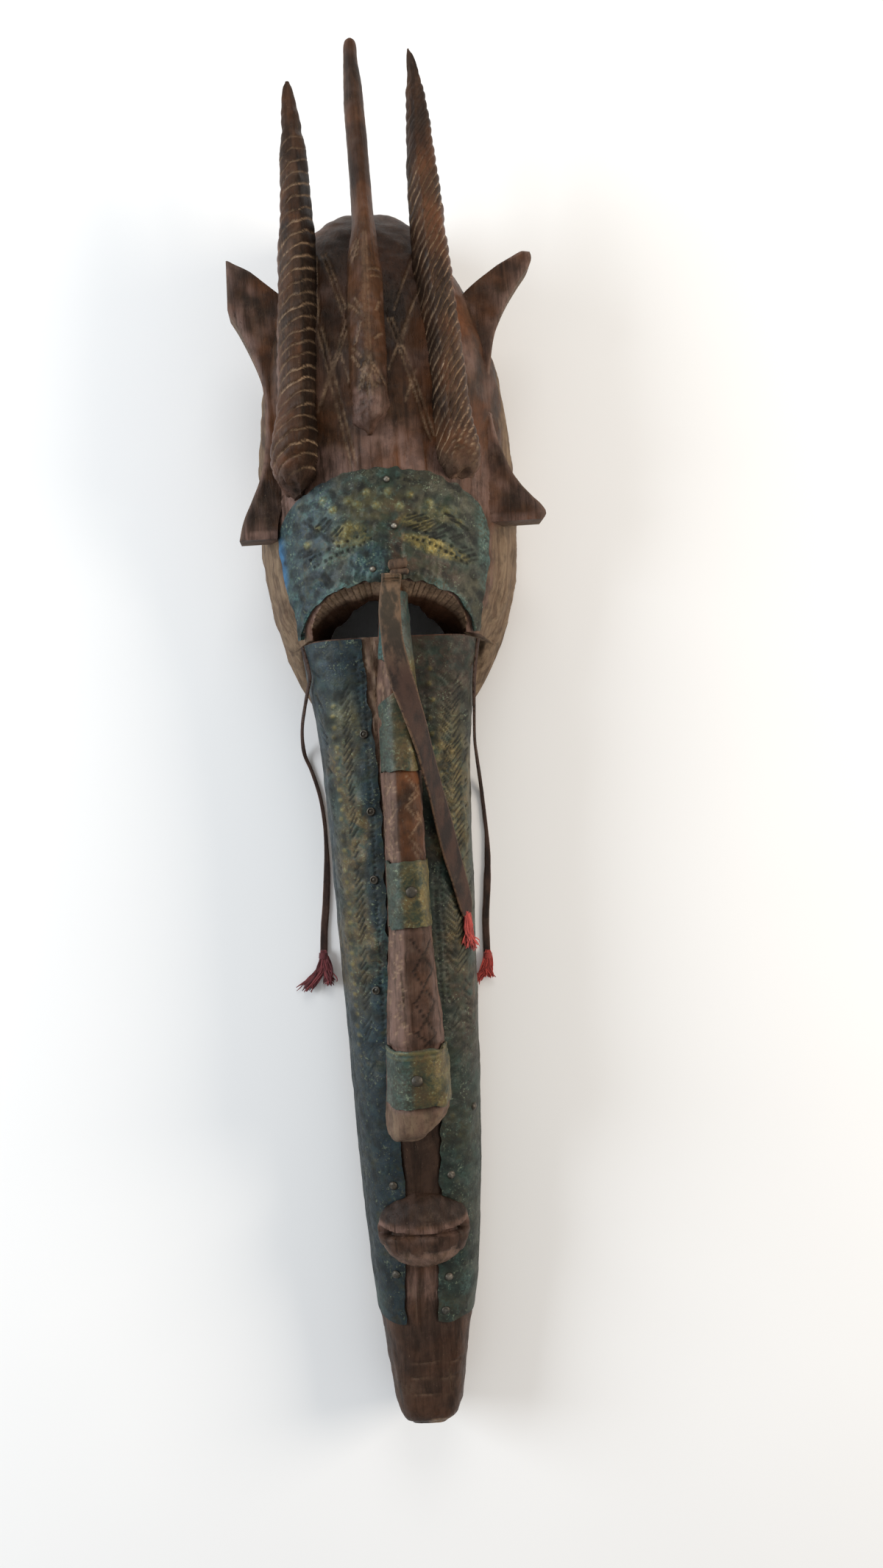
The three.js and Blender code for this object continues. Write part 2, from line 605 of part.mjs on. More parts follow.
// A curve whose flat side keeps facing away from what the strap lies on
class StrapPath extends THREE.CatmullRomCurve3 {
  constructor(route) {
    super(route.map(([x, y, z]) => new THREE.Vector3(x, y, z)));
    this.tilts = route.map((point) => THREE.MathUtils.degToRad(point[3]));
  }

  computeFrenetFrames(segments) {
    const frames = { tangents: [], normals: [], binormals: [] };
    for (let step = 0; step <= segments; step += 1) {
      const share = this.getUtoTmapping(step / segments);
      const position = share * (this.tilts.length - 1);
      const before = Math.min(Math.floor(position), this.tilts.length - 2);
      const tilt = mix(this.tilts[before], this.tilts[before + 1], position - before);
      const facing = new THREE.Vector3(Math.sin(tilt), 0, Math.cos(tilt));
      const tangent = this.getTangent(share);
      const across = facing.cross(tangent).normalize();
      frames.tangents.push(tangent);
      frames.normals.push(across);
      frames.binormals.push(tangent.clone().cross(across));
    }
    return frames;
  }
}

function strap({ width, thickness, steps, route }) {
  const corners = [[0.5, 0.22], [0.44, 0.5], [-0.44, 0.5], [-0.5, 0.22]];
  const outline = [...corners, ...corners.map(([x, y]) => [-x, -y])];
  const shape = new THREE.Shape(outline.map(([x, y]) => new THREE.Vector2(x * width, y * thickness)));
  return new THREE.ExtrudeGeometry(shape, { steps, bevelEnabled: false, extrudePath: new StrapPath(route) });
}

// A bunch of cotton tied at its neck, lying on its side and pointing away from the strap's end
function tassel({ place, length, radius, heading, tilt }) {
  const { neck, flatness } = TASSEL;
  const outline = [
    [0, 0], [neck, 1], [neck * 1.25, 4], [neck, 7], [radius * 0.8, length * 0.55], [radius, length - 3],
    [radius * 0.7, length], [0, length - 1],
  ];
  const geometry = new THREE.LatheGeometry(outline.map(([r, along]) => new THREE.Vector2(r, along)), 8);
  geometry.rotateX(Math.PI).scale(1, 1, flatness).rotateZ(heading).rotateY(tilt).translate(...place);
  return toGeometry(toSolid(geometry));
}

const group = new THREE.Group();

function addPiece(name, geometry, finish) {
  geometry.translate(-OUTLINE_MIDDLE.x, -OUTLINE_MIDDLE.y, 0);
  const material = new THREE.MeshStandardMaterial({ ...COLOURS[finish], flatShading: true });
  const mesh = new THREE.Mesh(geometry, material);
  mesh.name = name;
  group.add(mesh);
}

addPiece('carved_mask', toGeometry(carvedMask()), 'wood');
addPiece('brow_sheet', toGeometry(browSheet()), 'metal');
CHEEK_SHEETS.forEach((sheet) => addPiece(sheet.name, toGeometry(cheekSheet(sheet)), 'metal'));
NOSE_SHEETS.forEach((sheet) => addPiece(sheet.name, toGeometry(noseSheet(sheet)), 'metal'));

const TACK_GROUPS = [
  { name: 'brow_tack', places: BROW_TACKS, ringAt: domeRing },
  { name: 'cheek_tack', places: CHEEK_TACKS, ringAt: faceRing },
  { name: 'nose_tack', places: NOSE_TACKS, ringAt: noseRing },
];
TACK_GROUPS.forEach(({ name, places, ringAt }) => places.forEach(([x, y], index) => {
  addPiece(`${name}_${index + 1}`, tack(ringAt, x, y), 'tack');
}));

[LEFT_STRAP, RIGHT_STRAP, NOSE_STRAP].forEach((piece) => addPiece(piece.name, strap(piece), 'leather'));
TASSELS.forEach((piece) => addPiece(piece.name, tassel(piece), piece.finish));

export default group;
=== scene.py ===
"""Looks of a carved wooden mask with ridged horns, embossed sheet metal and leather straps.

The mask lies on its back. Sizes are worked out in millimetres from a point between the cheeks,
as in the solids, and put_in_frame turns them into metres in the frame of the solids.
"""

import logging
import math
from dataclasses import dataclass, field
from enum import Enum
from typing import Callable, Iterable, Optional, Sequence

import bpy
import numpy as np
from mathutils import Matrix, Vector

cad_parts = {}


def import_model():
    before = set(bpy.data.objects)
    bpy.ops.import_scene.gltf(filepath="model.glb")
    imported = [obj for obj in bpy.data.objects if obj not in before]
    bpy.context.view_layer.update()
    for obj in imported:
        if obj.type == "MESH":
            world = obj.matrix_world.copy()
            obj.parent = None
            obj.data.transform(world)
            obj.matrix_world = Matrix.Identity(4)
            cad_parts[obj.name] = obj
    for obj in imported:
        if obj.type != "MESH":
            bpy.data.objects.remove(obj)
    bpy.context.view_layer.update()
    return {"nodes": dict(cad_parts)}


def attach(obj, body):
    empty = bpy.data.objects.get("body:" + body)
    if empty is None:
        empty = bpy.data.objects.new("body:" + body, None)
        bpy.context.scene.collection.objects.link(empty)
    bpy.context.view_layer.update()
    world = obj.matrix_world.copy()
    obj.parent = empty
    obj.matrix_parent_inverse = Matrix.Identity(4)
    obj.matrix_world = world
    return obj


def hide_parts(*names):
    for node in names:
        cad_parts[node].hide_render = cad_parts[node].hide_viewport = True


LOG = logging.getLogger("mask")
Array = np.ndarray
Pairs = Sequence[Sequence[float]]
Span = tuple[float, float]
Triple = tuple[float, float, float]
Colour = tuple[int, int, int]
Thing = bpy.types.Object
Mesh = bpy.types.Mesh
Node = bpy.types.Node
Socket = bpy.types.NodeSocket
Sockets = Sequence[Socket]
Material = bpy.types.Material

OUTLINE_MIDDLE = np.array([6.7, 15.0, 0.0])
MILLIMETRE = 0.001
CLEARANCE = 0.3
SHEET_THICKNESS = 0.8


def put_in_frame(points: Array) -> Array:
    """Turns millimetres from the design point into metres in the frame, moved as the solids are."""
    return (np.asarray(points, float) - OUTLINE_MIDDLE) * MILLIMETRE


def smooth_run(share: Array, start: Array, end: Array, leaving: Array, arriving: Array) -> Array:
    """A smooth way from one value to the next.

    Args:
        share: How far along the way, from 0 to 1.
        start: Value at the start.
        end: Value at the end.
        leaving: Slope at the start.
        arriving: Slope at the end.

    Returns:
        The value there.
    """
    square, cube = share ** 2, share ** 3
    return ((2 * cube - 3 * square + 1) * start + (cube - 2 * square + share) * leaving
            + (3 * square - 2 * cube) * end + (cube - square) * arriving)


class Profile:
    """A smooth curve through pairs of position and value, the same one as in the solids."""

    def __init__(self, pairs: Pairs) -> None:
        """Keeps the pairs, which are sorted by position, and the slope at each.

        Args:
            pairs: Position and value of each point, in order of position.
        """
        self.at, self.value = np.array(pairs, float).T
        run = np.diff(self.value) / np.diff(self.at)
        self.slope = np.concatenate([[0], (run[:-1] + run[1:]) / 2, [0]])

    def __call__(self, position: Array) -> Array:
        """The value at each position, held constant beyond both ends.

        Args:
            position: Where to read the curve.

        Returns:
            One value for each position.
        """
        where = np.clip(position, self.at[0], self.at[-1])
        right = np.clip(np.searchsorted(self.at, where, side="right"), 1, len(self.at) - 1)
        left = right - 1
        span = self.at[right] - self.at[left]
        return smooth_run((where - self.at[left]) / span, self.value[left], self.value[right],
                          self.slope[left] * span, self.slope[right] * span)


def held(value: Array) -> Array:
    """The value held between 0 and 1."""
    return np.clip(value, 0, 1)


def ease(value: Array, low: float, high: float) -> Array:
    """Rises smoothly from 0 at low to 1 at high, or falls where low is above high."""
    share = held((np.asarray(value, float) - low) / (high - low))
    return share * share * (3 - 2 * share)


def oval(distance: Array, power: Array) -> Array:
    """Height of an oval of unit reach at a distance from its middle."""
    return np.maximum(1 - np.abs(distance) ** power, 0) ** (1 / np.asarray(power, float))


def ripple(points: Array, size: float, seed: int, waves: int = 12) -> Array:
    """A wandering value of about -1 to 1 that changes over a distance, the same on each run.

    Args:
        points: Positions in millimetres, in the last axis.
        size: Distance between neighbouring crests in millimetres.
        seed: Which of the many such fields it is.
        waves: How many waves are added up.

    Returns:
        One value for each point.
    """
    points = np.asarray(points, float)
    random = np.random.default_rng(seed)
    turn = random.normal(size=(waves, points.shape[-1]))
    turn /= np.linalg.norm(turn, axis=1)[:, None]
    turn *= 2 * math.pi / (size * random.uniform(0.6, 1.8, waves))[:, None]
    return np.sin(points @ turn.T + random.uniform(0, 2 * math.pi, waves)).sum(-1) * 1.2 / math.sqrt(waves)


def near_strokes(points: Array, strokes: Array, half_width: float) -> Array:
    """How deep points lie inside straight strokes, 1 on a stroke's middle line and 0 outside.

    Args:
        points: Positions in the plane, in the last axis.
        strokes: One row [x0, y0, x1, y1] for each stroke.
        half_width: Distance from the middle line at which the stroke ends.

    Returns:
        The greatest depth over all strokes for each point.
    """
    flat = np.asarray(points, float).reshape(-1, 2)
    depth = np.zeros(len(flat))
    for x0, y0, x1, y1 in np.asarray(strokes, float).reshape(-1, 4):
        reach = half_width + 0.1
        box = (
            (flat[:, 0] > min(x0, x1) - reach) & (flat[:, 0] < max(x0, x1) + reach)
            & (flat[:, 1] > min(y0, y1) - reach) & (flat[:, 1] < max(y0, y1) + reach)
        )
        index = np.nonzero(box)[0]
        if not len(index):
            continue
        run = np.array([x1 - x0, y1 - y0])
        offset = flat[index] - [x0, y0]
        along = held(offset @ run / max(run @ run, 1e-9))
        distance = np.linalg.norm(offset - along[:, None] * run, axis=1)
        depth[index] = np.maximum(depth[index], 1 - ease(distance, half_width * 0.25, half_width))
    return depth.reshape(np.asarray(points).shape[:-1])


def near_dots(points: Array, dots: Array, radius: float) -> Array:
    """How far points lie up a round boss or pit, 1 at its middle and 0 outside it."""
    return near_strokes(points, np.hstack([dots, np.asarray(dots) + 1e-4]), radius)


def run_along(line: Array) -> Array:
    """Distance along an open line from its start to each of its points."""
    return np.concatenate([[0], np.cumsum(np.linalg.norm(np.diff(line, axis=0), axis=1))])


def resampled(line: Array, count: int) -> Array:
    """The same open line with a number of evenly spaced points.

    Args:
        line: Points of the line, in order.
        count: How many points to give back.

    Returns:
        The new points, with both ends kept.
    """
    line = np.asarray(line, float)
    runs = run_along(line)
    where = np.linspace(0, runs[-1], count)
    return np.stack([np.interp(where, runs, line[:, k]) for k in range(line.shape[1])], 1)


def chain(line: Array, spacing: float) -> Array:
    """Points at an even spacing along a line."""
    return resampled(line, max(int(round(run_along(line)[-1] / spacing)), 1) + 1)


def rounded(outline: Pairs, times: int = 2) -> Array:
    """An open outline with its corners cut off a few times, so that it looks curved.

    Args:
        outline: Points of the outline, in order.
        times: How often the corners are cut.

    Returns:
        The new points, with both ends kept.
    """
    points = np.asarray(outline, float)
    for _ in range(times):
        first, second = points[:-1], points[1:]
        cut = np.stack([first * 0.75 + second * 0.25, first * 0.25 + second * 0.75], 1).reshape(-1, 2)
        points = np.vstack([points[:1], cut, points[-1:]])
    return points


def stations_between(*parts: Triple) -> Array:
    """Positions along Y from parts given as start, end and spacing, without doubles.

    Args:
        parts: Start, end and spacing of each part, in order.

    Returns:
        The positions, up to the end of the last part.
    """
    rows = []
    for start, end, spacing in parts:
        count = max(int(round(abs(end - start) / spacing)), 1)
        rows.extend(np.linspace(start, end, count, endpoint=False))
    rows.append(parts[-1][1])
    return np.array(rows)


@dataclass
class Section:
    """Cross-sections of a long body: each an oval arch that stands on a floor.

    Every field is an array with one value for each section, or one number for all of them.
    """

    half_width: Array
    height: Array
    power: Array
    middle: Array = 0.0
    lean: Array = 0.0
    flare: Array = 0.0
    floor: Array = 0.0

    def point(self, angle: Array) -> tuple[Array, Array]:
        """Reads the arch.

        Args:
            angle: From 0 at the right foot to pi at the left foot.

        Returns:
            The x and z values at those angles.
        """
        cosine = np.cos(angle)
        across = np.sign(cosine) * np.abs(cosine) ** (2 / self.power)
        up = np.clip(np.sin(angle), 0, 1) ** (2 / self.power)
        spread = 1 + self.flare * (1 - up)
        x = self.middle + self.lean * (1 - up) + self.half_width * across * spread
        return x, self.floor + self.height * up

    def angle_at(self, x: Array) -> Array:
        """Finds the angle at which the arch passes through x.

        Args:
            x: One x value for each section.

        Returns:
            The angles, from 0 to pi.
        """
        low, high = np.zeros_like(x), np.full_like(x, math.pi)
        for _ in range(42):
            middle = (low + high) / 2
            is_right = self.point(middle)[0] > x
            low, high = np.where(is_right, middle, low), np.where(is_right, high, middle)
        return (low + high) / 2


SectionAt = Callable[[Array, float], Section]
FINE_STEPS = 1201
ARCH_ANGLES = math.pi * ease(ease(np.linspace(0, 1, FINE_STEPS), 0, 1), 0, 1)


def arch_grid(section_at: SectionAt, stations: Array, columns: int, offset: float = 0.0,
              density: Optional[Callable[[Array, Array], Array]] = None) -> Array:
    """Points over a body's arches, evenly spaced along each arch.

    Args:
        section_at: Gives the sections for positions along Y and an offset.
        stations: Positions along Y, one for each row.
        columns: How many points a row has.
        offset: Distance outside the body.
        density: Weight of a place (x, z); the points lie closer where it is larger.

    Returns:
        Array of rows, columns and x, y, z in millimetres.
    """
    rows = []
    for y in stations:
        x, z = section_at(np.full(ARCH_ANGLES.shape, y), offset).point(ARCH_ANGLES)
        steps = np.hypot(np.diff(x), np.diff(z))
        if density is not None:
            steps = steps * density((x[1:] + x[:-1]) / 2, (z[1:] + z[:-1]) / 2)
        run = np.concatenate([[0], np.cumsum(steps)])
        where = np.linspace(0, run[-1], columns)
        rows.append(np.stack([np.interp(where, run, x), np.full(columns, y), np.interp(where, run, z)], 1))
    return np.array(rows)


def split(grid: Array) -> tuple[Array, Array, Array]:
    """The x, y and z values of a grid of points."""
    return grid[..., 0], grid[..., 1], grid[..., 2]


def on_ground(grid: Array) -> Array:
    """The same points, with none of them below z = 0."""
    return np.maximum(grid, [-np.inf, -np.inf, 0])


def on_body(section_at: SectionAt, plan: Array, offset: float) -> Array:
    """Puts points that are seen from the front onto a body.

    Args:
        section_at: Gives the body's sections.
        plan: x and y values in the last axis.
        offset: Distance outside the body.

    Returns:
        The points with their z values.
    """
    x, y = plan[..., 0].ravel(), plan[..., 1].ravel()
    section = section_at(y, offset)
    z = section.point(section.angle_at(x))[1]
    return np.stack([x, y, z], 1).reshape(*plan.shape[:-1], 3)


def wrapped(section_at: SectionAt, stations: Array, is_covered: Callable[[Array, Array, float], Array],
            columns: int) -> Array:
    """Points over the part of a body's arches that a sheet covers, evenly spaced along each arch.

    Args:
        section_at: Gives the body's sections.
        stations: Positions along Y, one for each row.
        is_covered: Tells which points of an arch are covered, from their x, z and y values.
        columns: How many points a row has.

    Returns:
        Array of rows, columns and x, y, z in millimetres.
    """
    rows = []
    for y in stations:
        x, z = section_at(np.full(ARCH_ANGLES.shape, y), CLEARANCE).point(ARCH_ANGLES)
        line = np.stack([x, np.full(x.shape, y), z], 1)
        rows.append(resampled(line[is_covered(x, z, y)], columns))
    return np.array(rows)


def unit(vectors: Array) -> Array:
    """The same directions at length 1."""
    return vectors / np.maximum(np.linalg.norm(vectors, axis=-1, keepdims=True), 1e-9)


def grid_normals(grid: Array) -> Array:
    """Unit normals of a grid of points, from the differences between neighbours."""
    return unit(np.cross(np.gradient(grid, axis=1), np.gradient(grid, axis=0)))


def outward_normals(grid: Array) -> Array:
    """Unit normals of a grid over the front of a body, turned so that they look away from it."""
    normal = grid_normals(grid)
    return normal * np.sign(normal[..., 2].mean())


@dataclass
class Shape:
    """Vertices and faces of a closed body, with named values on its vertices."""

    points: Array
    faces: list
    values: dict[str, Array] = field(default_factory=dict)

    def volume(self) -> float:
        """Signed volume, which is positive where the faces look outwards.

        Returns:
            The volume, in the cube of the unit of the points.
        """
        total = 0.0
        for size in {len(face) for face in self.faces}:
            some = np.array([face for face in self.faces if len(face) == size])
            corners = self.points[some]
            for k in range(1, size - 1):
                total += np.einsum("ij,ij->", corners[:, 0], np.cross(corners[:, k], corners[:, k + 1]))
        return total / 6

    def facing_out(self) -> "Shape":
        """The same body with its faces turned outwards.

        Returns:
            This body itself.
        """
        if self.volume() < 0:
            self.faces = [tuple(reversed(face)) for face in self.faces]
        return self


def gathered(shapes: Sequence[Shape]) -> Shape:
    """Many bodies with the same named values in one.

    Args:
        shapes: The bodies, in the order in which they are kept.

    Returns:
        One body that holds them all.
    """
    faces, shift = [], 0
    for shape in shapes:
        faces += [tuple(i + shift for i in face) for face in shape.faces]
        shift += len(shape.points)
    values = {name: np.concatenate([shape.values[name] for shape in shapes]) for name in shapes[0].values}
    return Shape(np.vstack([shape.points for shape in shapes]), faces, values)


def loft(grid: Array, values: dict[str, Array]) -> Shape:
    """A closed body through rings of points, with a fan over each end.

    Args:
        grid: Rings along the first axis, points of a ring along the second.
        values: Named values, one for each point of the grid or one for all of them.

    Returns:
        The body with its faces turned outwards.
    """
    rows, size = grid.shape[:2]
    index = np.arange(rows * size).reshape(rows, size)
    turned = np.roll(index, -1, axis=1)
    quads = np.stack([index[:-1], turned[:-1], turned[1:], index[1:]], -1).reshape(-1, 4)
    faces = [tuple(face) for face in quads.tolist()]
    ends = [rows * size, rows * size + 1]
    for end, row in zip(ends, (0, rows - 1)):
        for a, b in zip(index[row].tolist(), turned[row].tolist()):
            faces.append((b, a, end) if row == 0 else (a, b, end))
    points = np.vstack([grid.reshape(-1, 3), grid[0].mean(0), grid[-1].mean(0)])
    named = {}
    for name, value in values.items():
        value = np.broadcast_to(value, grid.shape[:2])
        named[name] = np.concatenate([value.ravel(), [value[0].mean(), value[-1].mean()]])
    return Shape(points, faces, named).facing_out()


def wood_body(grid: Array, **values: Array) -> Shape:
    """A closed body of wood, with its named values held between 0 and 1 and 0 where not given."""
    return loft(grid, {"made": 1.0, **{name: held(values.get(name, 0.0)) for name in WOOD_VALUES}})


def shell(top: Array, bottom: Array, **values: Array) -> Shape:
    """A thin closed body between two grids of points, with named values held between 0 and 1.

    Args:
        top: Rows of points of the outer side.
        bottom: The same number of points of the inner side.
        values: Named values, one for each point of a side or one for all of them.

    Returns:
        The body with its faces turned outwards.
    """
    rows, columns = top.shape[:2]
    count = rows * columns
    index = np.arange(count).reshape(rows, columns)
    quads = np.stack([index[:-1, :-1], index[:-1, 1:], index[1:, 1:], index[1:, :-1]], -1).reshape(-1, 4)
    faces = [tuple(face) for face in quads.tolist()]
    faces += [tuple(reversed([i + count for i in face])) for face in quads.tolist()]
    rim = np.concatenate([index[0], index[1:, -1], index[-1, -2::-1], index[-2:0:-1, 0]])
    for a, b in zip(rim.tolist(), np.roll(rim, -1).tolist()):
        faces.append((b, a, a + count, b + count))
    named = {name: np.tile(np.broadcast_to(held(value), (rows, columns)).ravel(), 2)
             for name, value in values.items()}
    return Shape(np.vstack([top.reshape(-1, 3), bottom.reshape(-1, 3)]), faces, named).facing_out()


def full_turn(steps: int) -> Array:
    """Angles around a circle, without the last one."""
    return np.linspace(0, 2 * math.pi, steps, endpoint=False)


def swept(path: Array, across: Array, facing: Array, outline: Array, values: dict[str, Array]) -> Shape:
    """A closed body made by carrying an outline along a path.

    Args:
        path: Points of the path.
        across: Unit vector for the outline's first value at each point.
        facing: Unit vector for the outline's second value at each point.
        outline: Pairs, either the same for all points or one set for each point.
        values: Named values for each point of the path and outline.

    Returns:
        The body with its faces turned outwards.
    """
    outline = np.broadcast_to(outline, (len(path), *np.shape(outline)[-2:]))
    grid = path[:, None] + outline[..., :1] * across[:, None] + outline[..., 1:] * facing[:, None]
    return loft(grid, values)


def make_piece(name: str, shape: Shape, sharp_degrees: float = 40.0) -> Thing:
    """Makes a mesh object from a body in millimetres.

    Args:
        name: The object's name.
        shape: The body.
        sharp_degrees: Edges with a larger angle than this stay sharp.

    Returns:
        The object, linked to the scene.
    """
    mesh = bpy.data.meshes.new(name)
    mesh.from_pydata(put_in_frame(shape.points).tolist(), [], shape.faces)
    for label, value in shape.values.items():
        write_value(mesh, label, value)
    mesh.validate()
    smooth(mesh, sharp_degrees)
    piece = bpy.data.objects.new(name, mesh)
    bpy.context.scene.collection.objects.link(piece)
    return piece


def declare_piece(piece: Thing, node: str, material: Material, slot: str) -> Thing:
    """Gives a piece its material, hangs it under the root and hides the node of the solids that it stands
    for.

    Args:
        piece: The piece to declare.
        node: Name of the node that it stands for.
        material: Its finish.
        slot: Name of a material slot; not used.

    Returns:
        The piece itself.
    """
    piece.data.materials.clear()
    piece.data.materials.append(material)
    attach(piece, "root")
    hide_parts(node)
    return piece


def smooth(mesh: Mesh, sharp_degrees: float) -> None:
    """Smooths a mesh, except at edges with a larger angle than this."""
    mesh.shade_smooth()
    mesh.set_sharp_from_angle(angle=math.radians(sharp_degrees))


class Change(Enum):
    """What one body does to another."""

    JOIN = "UNION"
    CUT = "DIFFERENCE"


def combine(base: Thing, others: Iterable[Thing], change: Change) -> None:
    """Joins bodies to a base or cuts them from it, and removes them.

    Args:
        base: The object that keeps the result.
        others: The bodies to join or cut.
        change: Whether they are joined or cut.
    """
    for other in others:
        modifier = base.modifiers.new("combine", "BOOLEAN")
        modifier.operation = change.value
        modifier.solver = "MANIFOLD"
        modifier.object = other
        graph = bpy.context.evaluated_depsgraph_get()
        mesh = bpy.data.meshes.new_from_object(
            base.evaluated_get(graph), preserve_all_data_layers=True, depsgraph=graph)
        base.modifiers.remove(modifier)
        old = base.data
        base.data = mesh
        bpy.data.meshes.remove(old)
        bpy.data.objects.remove(other)


def write_value(mesh: Mesh, name: str, value: Array) -> None:
    """Stores one named value for each vertex."""
    attribute = mesh.attributes.get(name) or mesh.attributes.new(name, "FLOAT", "POINT")
    attribute.data.foreach_set("value", np.asarray(value, np.float32))


def read_value(mesh: Mesh, name: str) -> Array:
    """The named value of each vertex.

    Args:
        mesh: The mesh to read.
        name: Name of the value.

    Returns:
        One number for each vertex.
    """
    value = np.empty(len(mesh.vertices), np.float32)
    mesh.attributes[name].data.foreach_get("value", value)
    return value.astype(float)


def mend_seams(mesh: Mesh, names: Sequence[str]) -> None:
    """Gives the new vertices along a join the values of their neighbours.

    Args:
        mesh: A mesh whose value named made is 1 on every vertex from before the joins.
        names: The values to fill in.
    """
    made = read_value(mesh, "made") > 0.99
    edges = np.empty(len(mesh.edges) * 2, np.int32)
    mesh.edges.foreach_get("vertices", edges)
    edges = edges.reshape(-1, 2)
    values = np.stack([read_value(mesh, name) for name in names], 1)
    for _ in range(4):
        count, total = np.zeros(len(made)), np.zeros(values.shape)
        for a, b in ((0, 1), (1, 0)):
            usable = made[edges[:, a]] & ~made[edges[:, b]]
            source, target = edges[usable, a], edges[usable, b]
            np.add.at(count, target, 1)
            np.add.at(total, target, values[source])
        fill = count > 0
        values[fill] = total[fill] / count[fill, None]
        made = made | fill
    for name, value in zip(names, values.T):
        write_value(mesh, name, value)


@dataclass
class Dome:
    """The domed forehead with its rim, from the eyes up to the horns."""

    rim_y: float = 165.0
    rim_half_width: float = 82.0
    rim_up: float = 189.0
    rim_down: float = 145.0
    height: float = 98.0
    crown_y: float = 200.0
    top_y: float = 354.0
    brow_y: float = 118.0
    brow_edge_y: float = 86.0
    brow_drop: float = 10.0
    power: float = 2.6
    lean: Profile = Profile([
        [18, 1.7], [60, 3.6], [125, 6.6], [165, 6.6], [206, 7.3], [240, 8.6], [263, 8], [285, 5],
        [304, 1.8], [332, -2.5], [354, -3],
    ])

    def half_width_at(self, y: Array) -> Array:
        """Half-width of the rim.

        Args:
            y: Positions along the mask.

        Returns:
            One half-width for each position.
        """
        is_upper = y > self.rim_y
        reach = np.where(is_upper, self.rim_up, self.rim_down)
        return self.rim_half_width * oval((y - self.rim_y) / reach, np.where(is_upper, 1.95, 2.0))

    def height_at(self, y: Array) -> Array:
        """Height of the dome above the rim.

        Args:
            y: Positions along the mask.

        Returns:
            One height for each position.
        """
        crown = self.height * oval(np.maximum(y - self.crown_y, 0) / (self.top_y - self.crown_y), self.power)
        below = np.clip(self.brow_y - y, 0, None) / (self.brow_y - self.brow_edge_y)
        brow = self.height - self.brow_drop * below ** 2
        flare = 26 + (50 - 26) * (y - 18) / 64
        return np.where(y > self.crown_y, crown, np.where(y >= self.brow_edge_y, brow, flare))

    def sharpness_at(self, y: Array) -> Array:
        """Power of the dome's arch."""
        return 2 + 1.3 * ease(y, 175, 300)

    def section(self, y: Array, offset: float = 0.0) -> Section:
        """The arch at y, grown by an offset."""
        return Section(self.half_width_at(y) + offset, self.height_at(y) + offset,
                       self.sharpness_at(y), lean=self.lean(y))


@dataclass
class Face:
    """The long face from the eyes down to the chin."""

    half_width: Profile = Profile([
        [-388, 14], [-385, 17.6], [-380, 20], [-371, 22.2], [-359, 24], [-340, 26.8], [-321, 29.8],
        [-305, 32], [-273, 34.6], [-238, 37], [-197, 38.6], [-150, 40], [-73, 42.2], [-3, 44.2], [33, 46.4],
        [63, 50.2], [88, 52.8],
    ])
    height: Profile = Profile([
        [-388, 45], [-384, 48.5], [-376, 51], [-350, 52.5], [-311, 55], [-220, 61], [-100, 69], [0, 72],
        [90, 74],
    ])
    middle: Profile = Profile([
        [-388, -2], [-350, -1.2], [-296, 0.8], [-192, 1.8], [-71, 1.3], [-20, 1.1], [40, 0.8], [90, 0.3],
    ])
    sharpness: Profile = Profile([
        [-388, 4.5], [-350, 3.8], [-300, 3.3], [-100, 3.3], [0, 3.4], [50, 4], [90, 5],
    ])

    def section(self, y: Array, offset: float = 0.0) -> Section:
        """The arch at y, grown by an offset."""
        return Section(self.half_width(y) + offset, self.height(y) + offset,
                       self.sharpness(y), self.middle(y))


@dataclass
class Nose:
    """The long nose that stands on the face and runs up into the brow."""

    half_width: Profile = Profile([
        [-204, 11], [-201, 15.4], [-196, 17.6], [-188, 18.4], [-180, 18.6], [-165, 18], [-139, 16.4],
        [-80, 12.4], [-40, 11.6], [7, 10.8], [68, 8.8], [90, 7.6], [113, 6.9],
    ])
    top: Profile = Profile([
        [-204, 85], [-200, 91], [-190, 94.5], [-139, 95], [-20, 97.5], [70, 100], [96, 99], [113, 96],
    ])
    middle: Profile = Profile([
        [-204, -3.6], [-196, -1.2], [-188, -0.2], [-180, 0.6], [-150, 0.5], [-100, 0.8], [-40, 1], [20, 1],
        [60, 1.4], [86, 1.9], [113, 2.2],
    ])
    foot: Profile = Profile([[-204, 44], [-100, 52], [0, 58], [113, 62]])
    flare: Profile = Profile([
        [-204, 0.02], [0, 0.1], [25, 0.2], [60, 0.36], [88, 0.2], [113, 0.1],
    ])

    def section(self, y: Array, offset: float = 0.0) -> Section:
        """The arch at y, grown by an offset."""
        return Section(self.half_width(y) + offset, self.top(y) - self.foot(y) + offset, 3.4 + 0 * y,
                       self.middle(y), 0.0, self.flare(y), self.foot(y))


@dataclass
class Mouth:
    """The swelling of the two lips."""

    x: float = -0.5
    y: float = -265.6
    half_length: float = 27.5
    half_height: float = 23.5
    rise: float = 15.0
    sunk: float = 3.0
    groove_y: float = -264.4
    groove_sag: float = 2.5

    def groove_at(self, x: Array) -> Array:
        """Position along Y of the line between the lips."""
        share = (x - self.x) / (self.half_length + 4)
        return self.groove_y + self.groove_sag * (share ** 2 - 0.5)


DOME, FACE, NOSE, MOUTH = Dome(), Face(), Nose(), Mouth()
EYE_LINE_Y = 83.0
EYE_TO_HORN = 620.0


def eye_arch(steps: int, inset: float = 0.0) -> Array:
    """The arch over both eyes, seen from the front, from its right end to its left end."""
    arch = Section(50.8 - inset, 31 - inset, 2.4, -1.0, floor=EYE_LINE_Y)
    return np.stack(arch.point(np.linspace(0, math.pi, steps)), 1)


def station_profiles(stations: Pairs) -> list[Profile]:
    """Middle, half-width, top and floor along Y, from stations that start with their y."""
    return [Profile([(station[0], station[k]) for station in stations]) for k in range(1, 5)]


